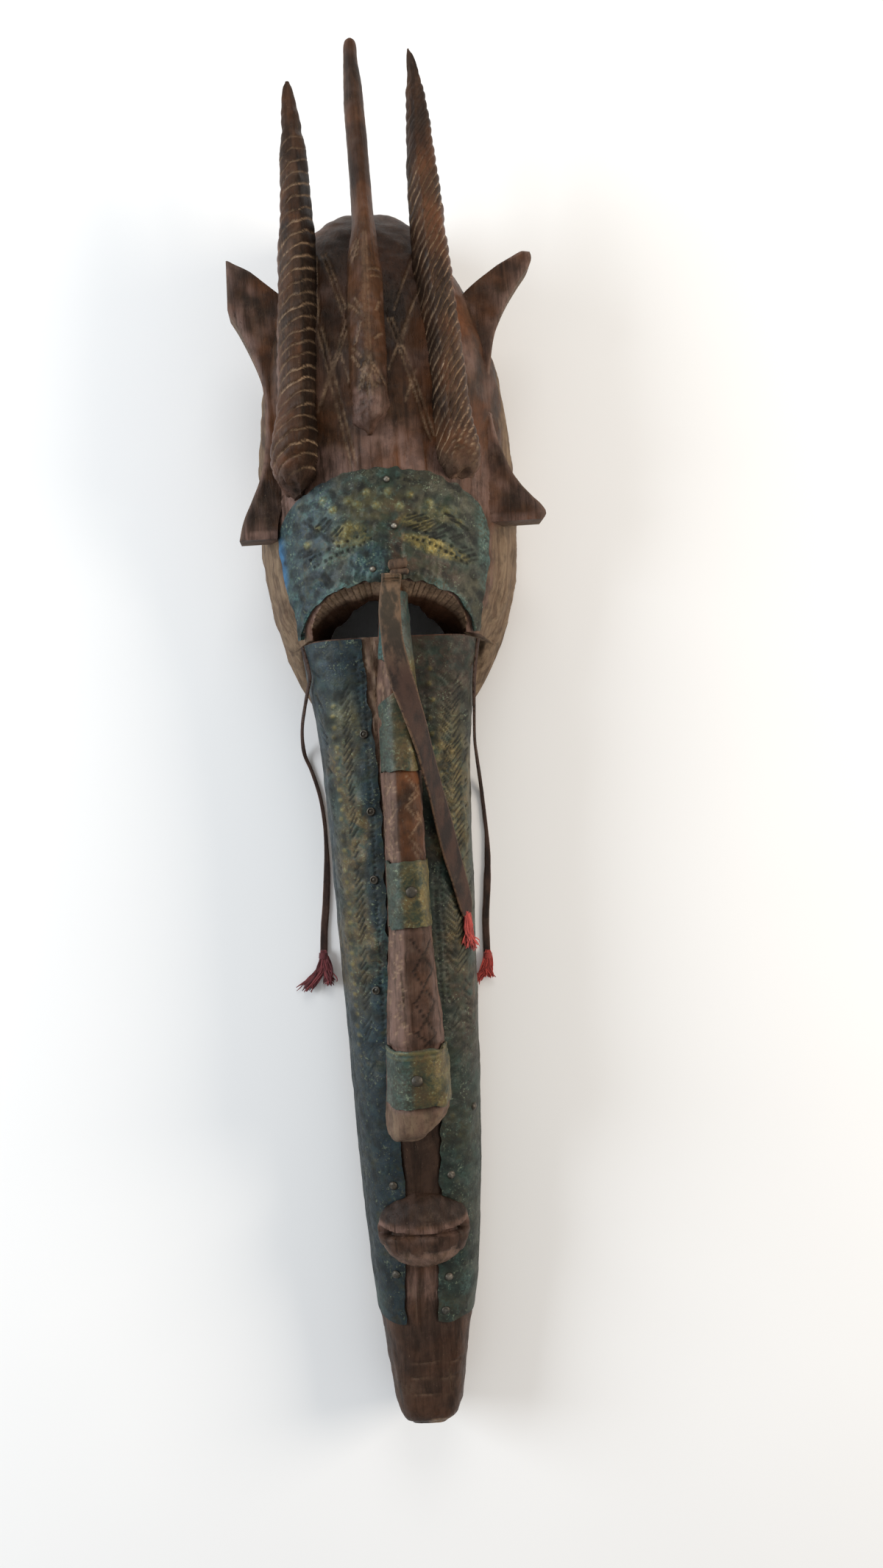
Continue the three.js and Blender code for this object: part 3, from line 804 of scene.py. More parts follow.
@dataclass
class Horn:
    """One ridged horn that lies along the forehead and points up past it."""

    side: int
    stations: Pairs
    pitch: float
    ringed_from: float
    plain_above: float
    lined_to: float
    ring_course: Pairs
    rows: int
    ridge_at: float
    # How dark the inner face is painted as shade, along the horn.
    shade: Pairs
    pale: float
    columns: int = 26
    seed: int = 1

    def build(self) -> Shape:
        """Makes the horn with its carved rings.

        Returns:
            A closed body with the values of the wood.
        """
        middle, width, top, floor = station_profiles(self.stations)
        base, tip = self.stations[0][0], self.stations[-1][0]
        y = np.concatenate([np.linspace(base, base + 9, 12, endpoint=False),
                            np.linspace(base + 9, tip, self.rows - 12)])[:, None]
        corners = [[-0.88, 0], [-1, 0.4], [-0.88, 0.76], [-0.45, 0.95], [self.ridge_at, 1.02],
                   [self.ridge_at + 0.04, 0.99], [0.78, 0.66], [1, 0.36], [0.88, 0]]
        outline = resampled(rounded(corners, 1), self.columns)
        across, up = outline[None, :, 0], outline[None, :, 1]
        course = Profile(self.ring_course)(across)
        y = y + course * width(y) * ease(y, base, base + 34) * ease(y, tip, tip - 60)
        half_width = width(y)
        x = middle(y) + self.side * across * half_width
        z = floor(y) + (top(y) - floor(y)) * up
        seen_y = y * (1 - (top(y) - z) / EYE_TO_HORN)
        course = course * half_width
        wander = ripple(np.stack([x, y], -1), 11, self.seed) * 0.45
        place = seen_y - course + wander
        ring = (place - self.ringed_from) / self.pitch
        number = np.round(ring)
        offset = np.abs(ring - number) * self.pitch
        fade = ease(tip - y, 0, 30) * ease(y, base + 3, self.ringed_from)
        fade = fade * ease(place, self.plain_above + 14, self.plain_above - 14)
        strength = 0.72 + 0.28 * np.sin(number * 2.4 + 7 * np.cos(number * 1.7) + 0.16 * y)
        line = ease(offset, 0.7, 0.26) * fade * ease(up, 0.05, 0.25)
        line = line * ease(y, self.lined_to + 22, self.lined_to - 12)
        bulge = np.abs(np.sin(math.pi * ring)) ** 0.6 * fade
        swollen = np.cos(2 * math.pi * ring) * ease(place, self.plain_above - 40, self.plain_above)
        swollen = swollen * ease(tip - y, 4, 20)
        grid = np.stack([x, y, z], -1)
        lump = ripple(grid, 14, self.seed + 3) * 0.35 * ease(tip - y, 0, 20)
        chipped = np.round(ripple(grid, 9, self.seed + 5) * 2.2) * 0.5
        chipped = chipped * ease(y, self.ringed_from + 5, base + 3)
        calm = 1 - 0.6 * ease(across, self.ridge_at, self.ridge_at + 0.2)
        relief = (0.85 * bulge - 0.6) * calm + 0.3 * swollen * self.side
        relief = np.minimum(half_width / 9, 1) * relief - 0.3 * line
        grid = grid + outward_normals(grid) * (lump + chipped + relief)[..., None]
        # Painted shade: beyond the ridge the inner face is painted darker, by the shade profile along the
        # horn.
        facing_in = ease(across, self.ridge_at - 0.06, self.ridge_at + 0.1)
        shade = Profile(self.shade)(y) * facing_in
        # Painted light: the outer edge of the horn is painted paler, as the edge that the side light
        # catches.
        rim = ease(across, -0.8, -0.95) * ease(y, 345, 300)
        return wood_body(
            grid,
            carve=self.pale * line * strength,
            raw=0.3 * ease(y, self.ringed_from + 8, base) * (self.side < 0),
            # Painted shade on the inner face, and a little between the ring bulges as shade under each ring.
            dark=shade + 0.1 + 0.25 * ripple(grid, 18, self.seed + 7) + 0.15 * ease(bulge, 0.5, 0.1),
            warm=0.3 + 0.3 * ripple(grid, 30, self.seed + 9),
            pink=0.8 * rim + 0.45 * ease(y, self.ringed_from + 3, base + 4),
        )


@dataclass
class Crest:
    """The roof-shaped leaf on the forehead that runs up into a slender slat."""

    stations: Pairs
    rows: int = 260
    columns: int = 36

    def build(self) -> Shape:
        """Makes the crest with its chip strokes and its double middle line.

        Returns:
            The body of the crest.
        """
        middle, width, top, floor = station_profiles(self.stations)
        base, tip = self.stations[0][0], self.stations[-1][0]
        y = np.concatenate([np.linspace(base, 325, self.rows * 2 // 3, endpoint=False),
                            np.linspace(325, tip, self.rows // 3)])[:, None]
        corners = [[-0.9, 0], [-1, 0.55], [-0.5, 0.88], [0, 1], [0.5, 0.88], [1, 0.55], [0.9, 0]]
        outline = resampled(rounded(corners, 1), self.columns)
        across, up = outline[None, :, 0], outline[None, :, 1]
        x = middle(y) + across * width(y)
        z = floor(y) + (top(y) - floor(y)) * up
        grid = np.stack([x, y + 0 * x, z], -1)
        in_leaf = ease(y, 320, 306) * ease(up, 0.3, 0.6)
        plan = np.stack([across * 10 + 0 * x, y + 0 * x], -1)
        lines = [[-0.9, 212, -0.9, 306], [1.0, 214, 1.0, 306]]
        chips = [
            [-3.6, 301.5, -6.9, 291.2], [-5, 303, -8.6, 296.3], [-6.4, 298.5, -3.6, 297],
            [-7.4, 294.5, -4.3, 293.4], [-9.6, 269.3, -2.9, 258.9], [-5.7, 269.3, -2.6, 262],
            [-2.9, 254.7, -6.4, 244.3],
            [-7.9, 242.8, -3.6, 235.5], [-8.6, 239, -5, 231], [0, 236, -4, 220], [0.3, 236, 4.5, 222],
            [-2, 232, -6, 219], [2.5, 232, 8.5, 222], [-4, 229, 3, 219], [1, 226, -2.5, 214.5],
            [2.4, 284, 8.2, 288], [3, 280.5, 7.4, 283], [5.2, 262, 7.2, 268], [4, 246, 7.5, 250],
        ]
        carve = np.maximum(near_strokes(plan, lines, 0.7) * 0.7, near_strokes(plan, chips, 0.8)) * in_leaf
        chunky = np.round(ripple(grid * [1, 1, 0.5], 11, 65) * 2.0) * 0.5 * ease(y, 224, 214)
        uneven = (ripple(grid, 16, 61) * 0.3 + ripple(grid, 5, 62) * 0.12) * (0.35 + 0.65 * in_leaf) + chunky
        grid = grid + outward_normals(grid) * (uneven * ease(tip - y, 0, 12) - 0.9 * carve)[..., None]
        painted = ease(y, 333, 336) * ease(y, 372, 366)
        return wood_body(
            grid,
            carve=0.42 * carve,
            dark=0.6 * painted + 0.3 * ease(y, 372, 380) + in_leaf * (0.1 + 0.25 * ease(up, 0.75, 0.45)),
            warm=0.35 + 0.25 * ease(y, 300, 330) + 0.15 * ripple(grid, 25, 63),
            pink=(0.95 * ease(y, 224, 212) * ease(y, 194, 202) + 0.25 * ripple(grid, 9, 64)
                  + 0.4 * ease(across, 0.75, 0.9) * ease(y, 330, 345)),
        )


@dataclass
class Ear:
    """A flat C-shaped flange beside the forehead."""

    outer: Pairs
    inner: Pairs
    seed: int
    back_z: float = 50.0
    front_z: float = 65.0
    rows: int = 90

    def build(self) -> Shape:
        """Makes the flange from sections that run from its hollow curve inwards.

        Returns:
            The body of the ear.
        """
        outer = resampled(np.vstack([self.outer[:1], rounded(self.outer[1:], 3)]), self.rows)
        inner = resampled(rounded(self.inner, 2), self.rows)
        front_count, back_count = 13, 7
        back_end = front_count + back_count
        sections = []
        for (xo, yo), (xi, yi) in zip(outer, inner):
            ring = []
            for k in np.linspace(0, 1, front_count):
                edge = 1.1 * (1 - ease(k, 0, 0.05)) + 0.4 * (1 - ease(k, 0.05, 0.16))
                ring.append((xo + (xi - xo) * k, yo + (yi - yo) * k, self.front_z - edge))
            for k in np.linspace(1, 0, back_count):
                ring.append((xo + (xi - xo) * k, yo + (yi - yo) * k, self.back_z))
            for rise in (0.33, 0.66):
                ring.append((xo, yo, self.back_z + (self.front_z - self.back_z) * rise))
            sections.append(ring)
        grid = np.array(sections)
        uneven = (ripple(grid, 18, self.seed) * 0.3 + ripple(grid, 6, self.seed + 1) * 0.12)[..., None]
        facing = np.zeros(grid.shape[1:])
        facing[:front_count, 2] = 1
        grid = grid + uneven * facing
        wall = np.zeros(grid.shape[:2])
        wall[:, back_end - 1:] = 1
        wall[:, 0] = 0.5
        worn = np.zeros(grid.shape[:2])
        worn[:, :3] = [1, 0.8, 0.4]
        worn[:2] = 0.8
        worn[-3:] = 0.9
        behind = np.zeros(grid.shape[:2])
        behind[:, front_count:back_end] = 1
        return wood_body(
            grid,
            raw=0.5 * wall + 0.85 * behind,
            dark=(0.1 - 0.1 * wall + 0.3 * ripple(grid, 22, self.seed + 3)
                  + 0.7 * ease(np.abs(grid[..., 0]), 62, 54) * ease(grid[..., 1], 270, 250)),
            warm=0.45 + 0.35 * ripple(grid, 30, self.seed + 2),
            pink=0.9 * worn + 0.15 + 0.3 * ripple(grid, 12, self.seed + 4),
        )


LEFT_HORN = Horn(
    side=1, pitch=6.9, ringed_from=183, plain_above=368, lined_to=352, ridge_at=0.22, rows=500, seed=11,
    pale=0.85,
    ring_course=[
        [-1, -1.15], [-0.8, -0.72], [-0.5, -0.36], [-0.15, -0.1], [0.22, 0], [0.6, 0.04], [1, -0.08],
    ],
    shade=[[167, 0.35], [200, 0.7], [240, 1], [330, 1], [352, 0.7], [375, 0.3], [396, 0.1]],
    stations=[
        [167.5, -47, 2.5, 84, 70], [171.5, -48, 8.5, 94, 69], [178, -49, 12.3, 104, 68],
        [218, -45.1, 12, 108, 70], [261, -42.8, 11.7, 107, 74], [315, -40.2, 10, 104, 78],
        [331, -39.8, 9, 103, 83], [356, -39.5, 7.5, 101, 88], [372, -39.6, 6.0, 99.5, 90.5],
        [381, -40.1, 4.8, 98.8, 91.6], [388, -40.5, 3.7, 98, 93], [392.5, -40.6, 2.7, 97.6, 94],
        [395.2, -40.5, 1.3, 97, 95],
    ],
)
RIGHT_HORN = Horn(
    side=-1, pitch=6.2, ringed_from=187, plain_above=402, lined_to=340, ridge_at=0.34, rows=540, seed=21,
    pale=1.15,
    ring_course=[[-1, 1.75], [-0.6, 1.4], [-0.2, 0.88], [0.1, 0.43], [0.34, 0], [0.7, -0.75], [1, -1.5]],
    shade=[[173, 0.15], [215, 0.4], [250, 0.5], [330, 0.42], [352, 0.35], [380, 0.25], [413, 0.1]],
    stations=[
        [173, 42.6, 5, 87, 70], [177, 43, 10.5, 97, 69], [185, 43.5, 14, 106, 68],
        [207, 41.2, 12.2, 108, 69], [246, 38.9, 11.1, 108, 73], [288, 35.4, 10.8, 106, 77],
        [314, 33.9, 9.9, 105, 79], [332, 33.1, 9.5, 104, 83], [353, 32.0, 8.5, 102, 87],
        [375, 31.7, 6.8, 100, 90], [392.5, 30.9, 4.9, 98.3, 92.3], [402.7, 29.9, 3.2, 97.6, 94],
        [410, 29, 1.9, 97, 95], [413, 28.2, 0.6, 96.8, 95.6],
    ],
)
CREST = Crest(stations=[
    [195.5, -6.6, 1.5, 103, 86], [201, -6.2, 6.4, 107, 86], [208, -5.4, 9.6, 109.5, 86],
    [218, -5, 10.9, 110.5, 86], [236, -4.8, 10.9, 111, 85], [265, -4.5, 10.9, 111, 83],
    [293, -3.4, 10.1, 109.5, 76], [306, -3.1, 8.7, 108.5, 70], [317, -2.6, 7.2, 107, 68],
    [325, -2.5, 6.6, 106, 70], [346, -3.1, 6.1, 105, 85], [383, -4.0, 5.8, 102, 87],
    [402, -4.3, 4.9, 100.5, 88], [411, -4.4, 4.1, 99.5, 89], [417.4, -4.3, 3.6, 99, 90],
    [418.2, -4.3, 3.2, 98.6, 91],
])
LEFT_EAR = Ear(
    seed=31,
    outer=[
        [-83, 311], [-83.7, 281], [-77.9, 271], [-69.3, 251], [-66, 239], [-65, 222], [-66.6, 201],
        [-69.3, 185], [-76.7, 169], [-81.9, 158.6], [-84.6, 147],
    ],
    inner=[
        [-69.2, 303.6], [-53.3, 290.5], [-48, 286], [-51, 240], [-54, 180], [-61.5, 158], [-62.5, 147.4],
    ],
)
RIGHT_EAR = Ear(
    seed=41,
    outer=[
        [92.8, 313.4], [96.6, 312.9], [97.8, 309.6], [96.2, 304.5], [89.5, 296], [80.2, 282],
        [72.1, 264], [68.7, 245], [66.6, 226], [69.4, 206], [74.2, 190.5], [80.4, 177.5], [88.4, 167.6],
        [95, 161.6], [98.2, 156.4], [95.1, 152.8],
    ],
    inner=[[76.3, 304.5], [56.5, 290], [52, 284], [55, 240], [57, 180], [56, 151.8]],
)
NOSE_SHEET_EDGE = Profile([
    [-210, -40], [24, -40], [30, -13], [44, -10], [52, -1.2], [62, -3.2], [69, -5], [72, -8.3],
    [104, -8.6], [107, -6], [113, -5],
])
# dark holds dark paint, stain and grooves, and also painted shade; warm and pink also hold a little painted
# light.
WOOD_VALUES = ("carve", "raw", "dark", "warm", "pink")


@dataclass
class CarvedMask:
    """The one block of wood under all the metal and leather."""

    node: str = "carved_mask"
    wall: float = 13.0
    under_sheet: float = 0.9

    def dome(self) -> Shape:
        """The forehead with its lattice of incised double lines.

        Returns:
            The body of the forehead.
        """
        y = stations_between((353.7, 338, 1.1), (338, 190, 1.3), (190, 176, 1.8), (176, 118, 3.6),
                             (118, 82, 2.2), (82, 18.2, 3.4))
        grid = arch_grid(DOME.section, y, 168, density=lambda x, z: 0.24 + ease(z, 66, 86))
        x, y, z = split(grid)
        lines = []
        for x0, y0, x1, y1, gap in (
            (-27, 307, -16, 260, 2.2), (-15, 264, -34, 212, 0), (-32, 259, -17, 177, 2.6),
            (-14, 260, -33, 213, 0),
            (8, 263, 28, 193, 2.4), (27, 281, 7, 233, 0), (22, 233, 15, 215, 0), (-30, 306, -31, 262, 0),
            (24, 300, 12, 268, 0), (-20, 244, -13, 214, 0), (14, 246, 20, 262, 0),
        ):
            lines.append([x0, y0, x1, y1])
            if gap:
                lines.append([x0 + gap, y0, x1 + gap, y1 + 3])
        carve = near_strokes(grid[..., :2], lines, 0.95) * ease(z, 70, 80)
        worn = 0.6 + 0.4 * ripple(grid[..., :2], 12, 71)
        smooth_height = 47 + (95 - 47) * ease(y, 60, 112)
        outer_part = ease(np.abs(x - DOME.lean(y) * 0.6), 52, 58) * ease(y, 58, 62) * ease(y, 116, 110)
        grid[..., 2] = z * (1 + outer_part * (smooth_height / DOME.height_at(y) - 1))
        x, y, z = split(grid)
        sheet = self.below_brow_sheet(grid)
        adzed = 0.42 * ripple(grid, 17, 72) + 0.12 * ripple(grid, 6, 73)
        depth = adzed * (1 - sheet) - self.under_sheet * sheet - 0.75 * carve
        grid = on_ground(grid + outward_normals(grid) * (depth * ease(z, 0, 6))[..., None])
        border = 2.5 * ripple(grid, 11, 74)
        ears_hide = ease(y, 150, 172)
        raw = ease(z + border, 50 + 16 * (1 - ears_hide), 46 + 12 * (1 - ears_hide)) * ease(y, 340, 320)
        raw = np.maximum(raw, ease(y + 0.5 * border, 84, 78))
        band = ease(y + border, 200, 184) * (1 - raw)
        # Painted shade on the sides of the dome.
        sides = ease(np.abs(x - 3), 50, 60) * (1 - raw) * ease(y, 160, 185)
        return wood_body(
            grid,
            carve=carve * np.clip(worn, 0.35, 1) * 0.62,
            raw=raw,
            # Painted shade: the top of the dome between the horns, and its sides, are painted darker.
            dark=0.55 * ease(np.abs(x + 2), 40, 10) * ease(y, 205, 240) * (1 - raw) + 0.25 * sides,
            # Painted light: the wood right of the crest is painted warmer, as lit.
            warm=held(0.35 + 0.3 * ease(x, -5, 25) + 0.3 * ripple(grid, 30, 75)) * (1 - raw),
            pink=band + 0.35 * ripple(grid, 22, 76) * (1 - raw),
        )

    def below_brow_sheet(self, grid: Array) -> Array:
        """1 where the brow sheet covers the dome, 0 elsewhere.

        Args:
            grid: Points on the dome.

        Returns:
            One value for each point.
        """
        x, y, z = split(grid)
        upper = ease(np.hypot(x / 59.5, np.maximum(y - 147, 0) / 28.6), 1.0, 0.965)
        return upper * ease(z, 41, 44) * ease(y, 84, 88)

    def face(self) -> Shape:
        """The long face under the cheek sheets, with its bare middle and chin.

        Returns:
            The body of the face.
        """
        y = stations_between((86, 80, 1.0), (80, -200, 3.2), (-200, -340, 2.4), (-340, -384, 1.3),
                             (-384, -388, 0.6))
        grid = arch_grid(FACE.section, y, 74,
                         density=lambda x, z: 0.55 + ease(np.abs(x), 24, 16) * ease(z, 30, 45))
        x, y, z = split(grid)
        left_edge, right_edge = LEFT_INNER_EDGE(y), RIGHT_INNER_EDGE(y)
        between = ease(x, left_edge - 1, left_edge + 1) * ease(x, right_edge + 1, right_edge - 1)
        bare = np.maximum(np.maximum(between, ease(y, -319, -322)), ease(z, 10.5, 8.5))
        gnarled = ease(y, -20, 10) * ease(x, -4, -9) * bare
        marks = [
            [-16, -347, 17, -349], [-13, -357, 14, -358], [-12, -367, 9, -368], [10, -352, 11, -368],
            [-9, -300, -8, -320], [4, -302, 5, -321],
        ]
        carve = near_strokes(grid[..., :2], marks, 0.8) * ease(z, 30, 40)
        flecks = scattered(np.random.default_rng(81), 60, (-13, -6), (-150, 75), (1, 4), (-2.5, 1))
        fleck = near_strokes(grid[..., :2], flecks, 0.9) * ease(z, 55, 62)
        uneven = 0.35 * ripple(grid, 15, 82) + 0.1 * ripple(grid, 5, 83)
        rough = gnarled * (0.9 * ripple(grid * [1, 0.45, 1], 5, 84) + 0.5 * ripple(grid, 3.6, 85))
        depth = bare * uneven + rough - self.under_sheet * (1 - bare) - 0.7 * carve - 0.5 * fleck * bare
        grid = on_ground(grid + outward_normals(grid) * (depth * ease(z, 0, 5))[..., None])
        chip = ease(np.hypot((x - 3) / 9, (y + 386) / 3.5), 1, 0.6)
        back = ease(z + 1.5 * ripple(grid, 9, 86), 12, 7)
        lower_lip_shade = ease(np.abs(y + 300), 14, 4) * ease(np.abs(x), 26, 12)
        # Painted shadow: the face is painted dark from the eyes down past the mouth, which shows on the bare
        # middle as the shadow beside the raised edges of the cheek sheets; the chin also gets darker towards
        # its end, and the chip paler.
        shade = (0.5 * ease(y, -300, -345) - 0.2 * chip + 0.9 * ease(y, 22, -2) * ease(y, -206, -200)
                 + 0.7 * ease(y, -200, -206) * ease(y, -275, -262))
        return wood_body(
            grid,
            carve=0.1 * carve + 0.5 * fleck * bare + 0.55 * chip + 0.12 * gnarled,
            raw=0.8 * back + 0.5 * gnarled,
            dark=held(shade) * (1 - back),
            warm=held(0.1 + 0.2 * ripple(grid, 24, 87)) * ease(np.abs(y + 238), 30, 36),
            pink=0.75 * gnarled + 0.45 * lower_lip_shade + 0.25,
        )

    def nose(self) -> Shape:
        """The nose, with zigzag lines above its middle band and crossed lines below it.

        Returns:
            The body of the nose.
        """
        y = stations_between((113, 100, 2.0), (100, 8, 2.4), (8, -42, 0.9), (-42, -84, 2.4),
                             (-84, -150, 0.9), (-150, -186, 2.4), (-186, -204, 0.8))
        grid = arch_grid(NOSE.section, y, 68)
        x, y, z = split(grid)
        middle = NOSE.middle(y)
        plan = np.stack([x - middle, y], -1)
        zigzag = [(2, 4), (9, -6), (1, -13), (8.5, -22), (2, -30), (9, -40)]
        lines = [[*a, *b] for a, b in zip(zigzag[:-1], zigzag[1:])]
        lines += [[9, -2, 3, -9], [7, -16, 10, -24], [3, -36, 7, -42], [-6, 2, -10, -6], [-5, -14, -10, -22]]
        for start in (-88, -106, -124):
            lines.append([-0.5, start, 11.5, start - 19])
            lines.append([11, start - 1, 0, start - 18])
        lines += [[-2, -140, 8, -148], [11, -143, 4, -149]]
        carve = near_strokes(plan, lines, 0.8) * ease(z, 76, 82)
        random = np.random.default_rng(91)
        flecks = scattered(random, 90, (-15, -5), (-146, 2), (-1.5, 2.5), (-4, 3))
        flecks += scattered(random, 46, (-14, -3), (14, 84), (1, 3.5), (-3.5, -0.5))
        fleck = near_strokes(plan, flecks, 0.6) * ease(z, 60, 72)
        bare_flank = ease(x - NOSE_SHEET_EDGE(y), 1.5, -0.5) * ease(y, 24, 30)
        banded = (ease(y, 5.5, 8) * (1 - bare_flank) + ease(y, -42, -45) * ease(y, -85, -82)
                  + ease(y, -147, -150) * ease(y, -186, -183))
        banded = held(banded) * ease(z, 74, 80)
        uneven = 0.3 * ripple(grid, 13, 92) + 0.1 * ripple(grid, 4.5, 93)
        depth = (1 - banded) * uneven - self.under_sheet * banded - 0.65 * carve - 0.4 * fleck
        grid = grid + outward_normals(grid) * depth[..., None]
        slant = 5.6 * ease(x - middle, 1, 14) - 3.2 * ease(x - middle, -4, -13)
        grid[..., 1] += ease(y, -186, -203) * slant
        front = ease(x - middle, -5.2, -3.2) * ease(z, 78, 88)
        tip = ease(y, -184, -188)
        upper = ease(y, -60, -30)
        across = x - middle
        return wood_body(
            grid,
            carve=0.4 * carve * upper + 0.45 * fleck * (1 - banded),
            raw=0.65 * tip + 0.1 * (1 - front) * (1 - banded) * ease(z, 66, 76),
            dark=(1 - upper) * (0.3 * front * (1 - tip) + 0.9 * carve) + 0.3 * ease(z, 75, 62),
            warm=front * (0.25 + 0.75 * upper) * ease(across, 11, 8.5) + 0.1 * ripple(grid, 12, 94),
            pink=0.95 * tip + 0.85 * (1 - front) + 0.35 * (1 - upper) + 0.6 * ease(across, 8.5, 11),
        )

    def mouth(self) -> Shape:
        """The two lips, with a notch at both ends of the line between them.

        Returns:
            The body of both lips.
        """
        turn = full_turn(84)[None, :]
        tilt = np.linspace(0.04, math.pi - 0.04, 64)[:, None]
        x = MOUTH.x + MOUTH.half_length * np.cos(tilt) + 0 * turn
        y = MOUTH.y + MOUTH.half_height * np.sin(tilt) * np.cos(turn)
        foot = float(FACE.height(MOUTH.y)) - MOUTH.sunk
        z = foot + MOUTH.rise * np.sin(tilt) * np.sin(turn)
        grid = np.stack([x, y, z], -1)
        centre = np.array([MOUTH.x, MOUTH.y, foot])
        share = np.abs(x - MOUTH.x) / MOUTH.half_length
        gap = 1.1 + 1.5 * ease(share, 0.6, 1)
        offset = y - MOUTH.groove_at(x)
        groove = (1 - ease(np.abs(offset), gap * 0.5, gap + 1)) * ease(z, foot, foot + 5)
        lip_edge = ease(np.abs(offset), gap + 4.6, gap + 2.8) * (1 - groove) * (offset > 0)
        ragged = 1.6 * np.round(1.5 * ripple(x[..., None], 9, 100))
        pale_band = ease(offset + ragged, -10, -12) * ease(offset, -26, -23)
        outward = unit((grid - centre) / [MOUTH.half_length, MOUTH.half_height, MOUTH.rise])
        uneven = 0.3 * ripple(grid, 11, 96) + 0.12 * ripple(grid, 4, 97)
        deep = (2.4 + 2 * share + 4 * ease(share, 0.8, 0.97)) * groove
        grid = grid + outward * (uneven - deep - 0.9 * pale_band)[..., None]
        return wood_body(
            grid,
            carve=0.12 * pale_band,
            raw=0.1 * pale_band,
            dark=(0.95 * groove * (0.3 + 0.7 * ease(share, 0.6, 0.85)) + 0.8 * ease(offset, 4.8, 7.5)
                  + 0.48 * ease(offset, 0, -3) * ease(offset, -13, -9)),
            warm=0.1 + 0.1 * ripple(grid, 14, 98),
            pink=pale_band + 0.4 * lip_edge + 0.4 + 0.2 * ripple(grid, 8, 99),
        )

    def eye_cutter(self) -> Shape:
        """The space of both eyes, with notches along the bevel under the brow.

        Returns:
            The body to cut from the wood.
        """
        count, notch = 281, 3.3
        length = run_along(eye_arch(count))[-1]
        where = np.linspace(0, length, count)
        arch = resampled(eye_arch(count), count)
        inner = resampled(eye_arch(count * 4, 5.5), count)
        phase = np.abs(((where / notch + 0.25 * np.sin(where / 9)) % 1) - 0.5) * 2
        cut = (1 - ease(phase, 0.0, 0.42)) * ease(where, 3, 12) * ease(length - where, 3, 12)
        is_nose = ease(np.abs(arch[:, 0] - 1.5), 12, 9)
        cut = cut * (1 - is_nose)
        outward = unit(arch - inner)
        surface = (DOME.height - 3) * oval(arch[:, 0] / DOME.rim_half_width, 2.0)
        uneven = 0.35 * ripple(arch, 7, 101)[:, None] * outward
        flank = ease(np.abs(arch[:, 0] + 1), 14, 40)[:, None]
        rings, notches, bands, wall_shades = [], [], [], []
        # Painted shade: each ring of the eye walls is painted darker the deeper it lies, and the notches in
        # the bevel are painted darker and less pink, as shade inside the openings.
        for inset, above, notched, dark in (
            (3.4, None, 0.0, 0.95), (3.0, -30.0, 0.0, 0.85), (2.0, -17.0, 0.0, 0.55),
            (1.2, -10.0, 0.0, 0.35), (0.85, -7.0, 0.75, 0.1), (0.45, -3.9, 1.0, 0.0),
            (0.06, -0.6, 0.9, 0.0), (0.0, 2.0, 0.6, 0.0), (0.0, 30.0, 0.4, 0.0),
        ):
            reach = min(inset, 1.2) + max(inset - 1.2, 0) * (0.35 + 0.65 * flank)
            plan = arch + (inner - arch) * reach + outward * (0.85 * notched * cut)[:, None]
            plan = plan + uneven * (inset > 0.02)
            height = np.full(count, 42.0) if above is None else surface + above
            ring = np.column_stack([plan, height])
            ends = [[ring[-1, 0], 74.0, ring[-1, 2]], [ring[0, 0], 74.0, ring[0, 2]]]
            rings.append(np.vstack([ring, ends]))
            notches.append(np.concatenate([cut * notched, [0, 0]]))
            bands.append([notched > 0])
            wall_shades.append([dark])
        notch_here, band = np.array(notches), np.array(bands, float)
        return wood_body(
            np.array(rings),
            carve=0.55 * band,
            raw=0.4 * band,
            dark=wall_shades + 0.75 * notch_here,
            warm=0.45,
            pink=0.1 + 0.85 * band - 0.6 * notch_here,
        )

    def hollow(self) -> Shape:
        """The hollow behind the forehead and the trough behind the face, with tool marks.

        Returns:
            The body to cut from the wood.
        """
        depth_at = Profile([[-300, 4], [-280, 14], [-150, 30], [0, 46], [80, 58], [90, 60]])
        top_y, bowl_y = DOME.top_y - 16, 84.0
        trough_depth = float(depth_at(bowl_y))

        def section(y: Array, offset: float) -> Section:
            """The arch of the hollow at y.

            Args:
                y: Positions along the mask.
                offset: Distance by which its half-width and its height grow.

            Returns:
                One cross-section for each position.
            """
            is_bowl = y > bowl_y
            past_crown = np.maximum(y - DOME.crown_y, 0) / (top_y - DOME.crown_y)
            bowl = (DOME.height - self.wall) * oval(past_crown, DOME.power)
            share = ease(y, bowl_y, DOME.brow_y)
            height = np.where(is_bowl, trough_depth + (bowl - trough_depth) * share, depth_at(y))
            past_rim = (y - DOME.rim_y) / (top_y + 1 - DOME.rim_y)
            upper = DOME.rim_half_width * oval(past_rim, 1.95) - 11.7
            beside = DOME.half_width_at(np.maximum(y, 20.1)) * (y > 20)
            lower = np.maximum(beside, FACE.half_width(y)) - self.wall
            half_width = np.where(y > DOME.rim_y, upper, lower)
            power = np.where(is_bowl, DOME.sharpness_at(y), 2.2)
            return Section(np.maximum(half_width, 4) + offset, np.maximum(height, 3) + offset, power,
                           lean=DOME.lean(y))

        y = stations_between((top_y - 0.6, 300, 2.5), (300, -296, 6.5))
        grid = arch_grid(section, y, 56)
        marks = 0.9 * ripple(grid * [1, 0.5, 1], 13, 111) * ease(grid[..., 2], 0, 12)
        grid = grid - grid_normals(grid) * marks[..., None]
        low = grid[:, [0, -1]].copy()
        low[..., 2] = -6
        grid = np.concatenate([low[:, :1], grid, low[:, 1:]], 1)
        # Painted shade: the hollow is painted darker the deeper it reaches, and more raw near its rim.
        deep = ease(grid[..., 2], 20, 50)
        return wood_body(grid, raw=1 - 0.7 * deep, dark=0.7 * deep, warm=0.2)

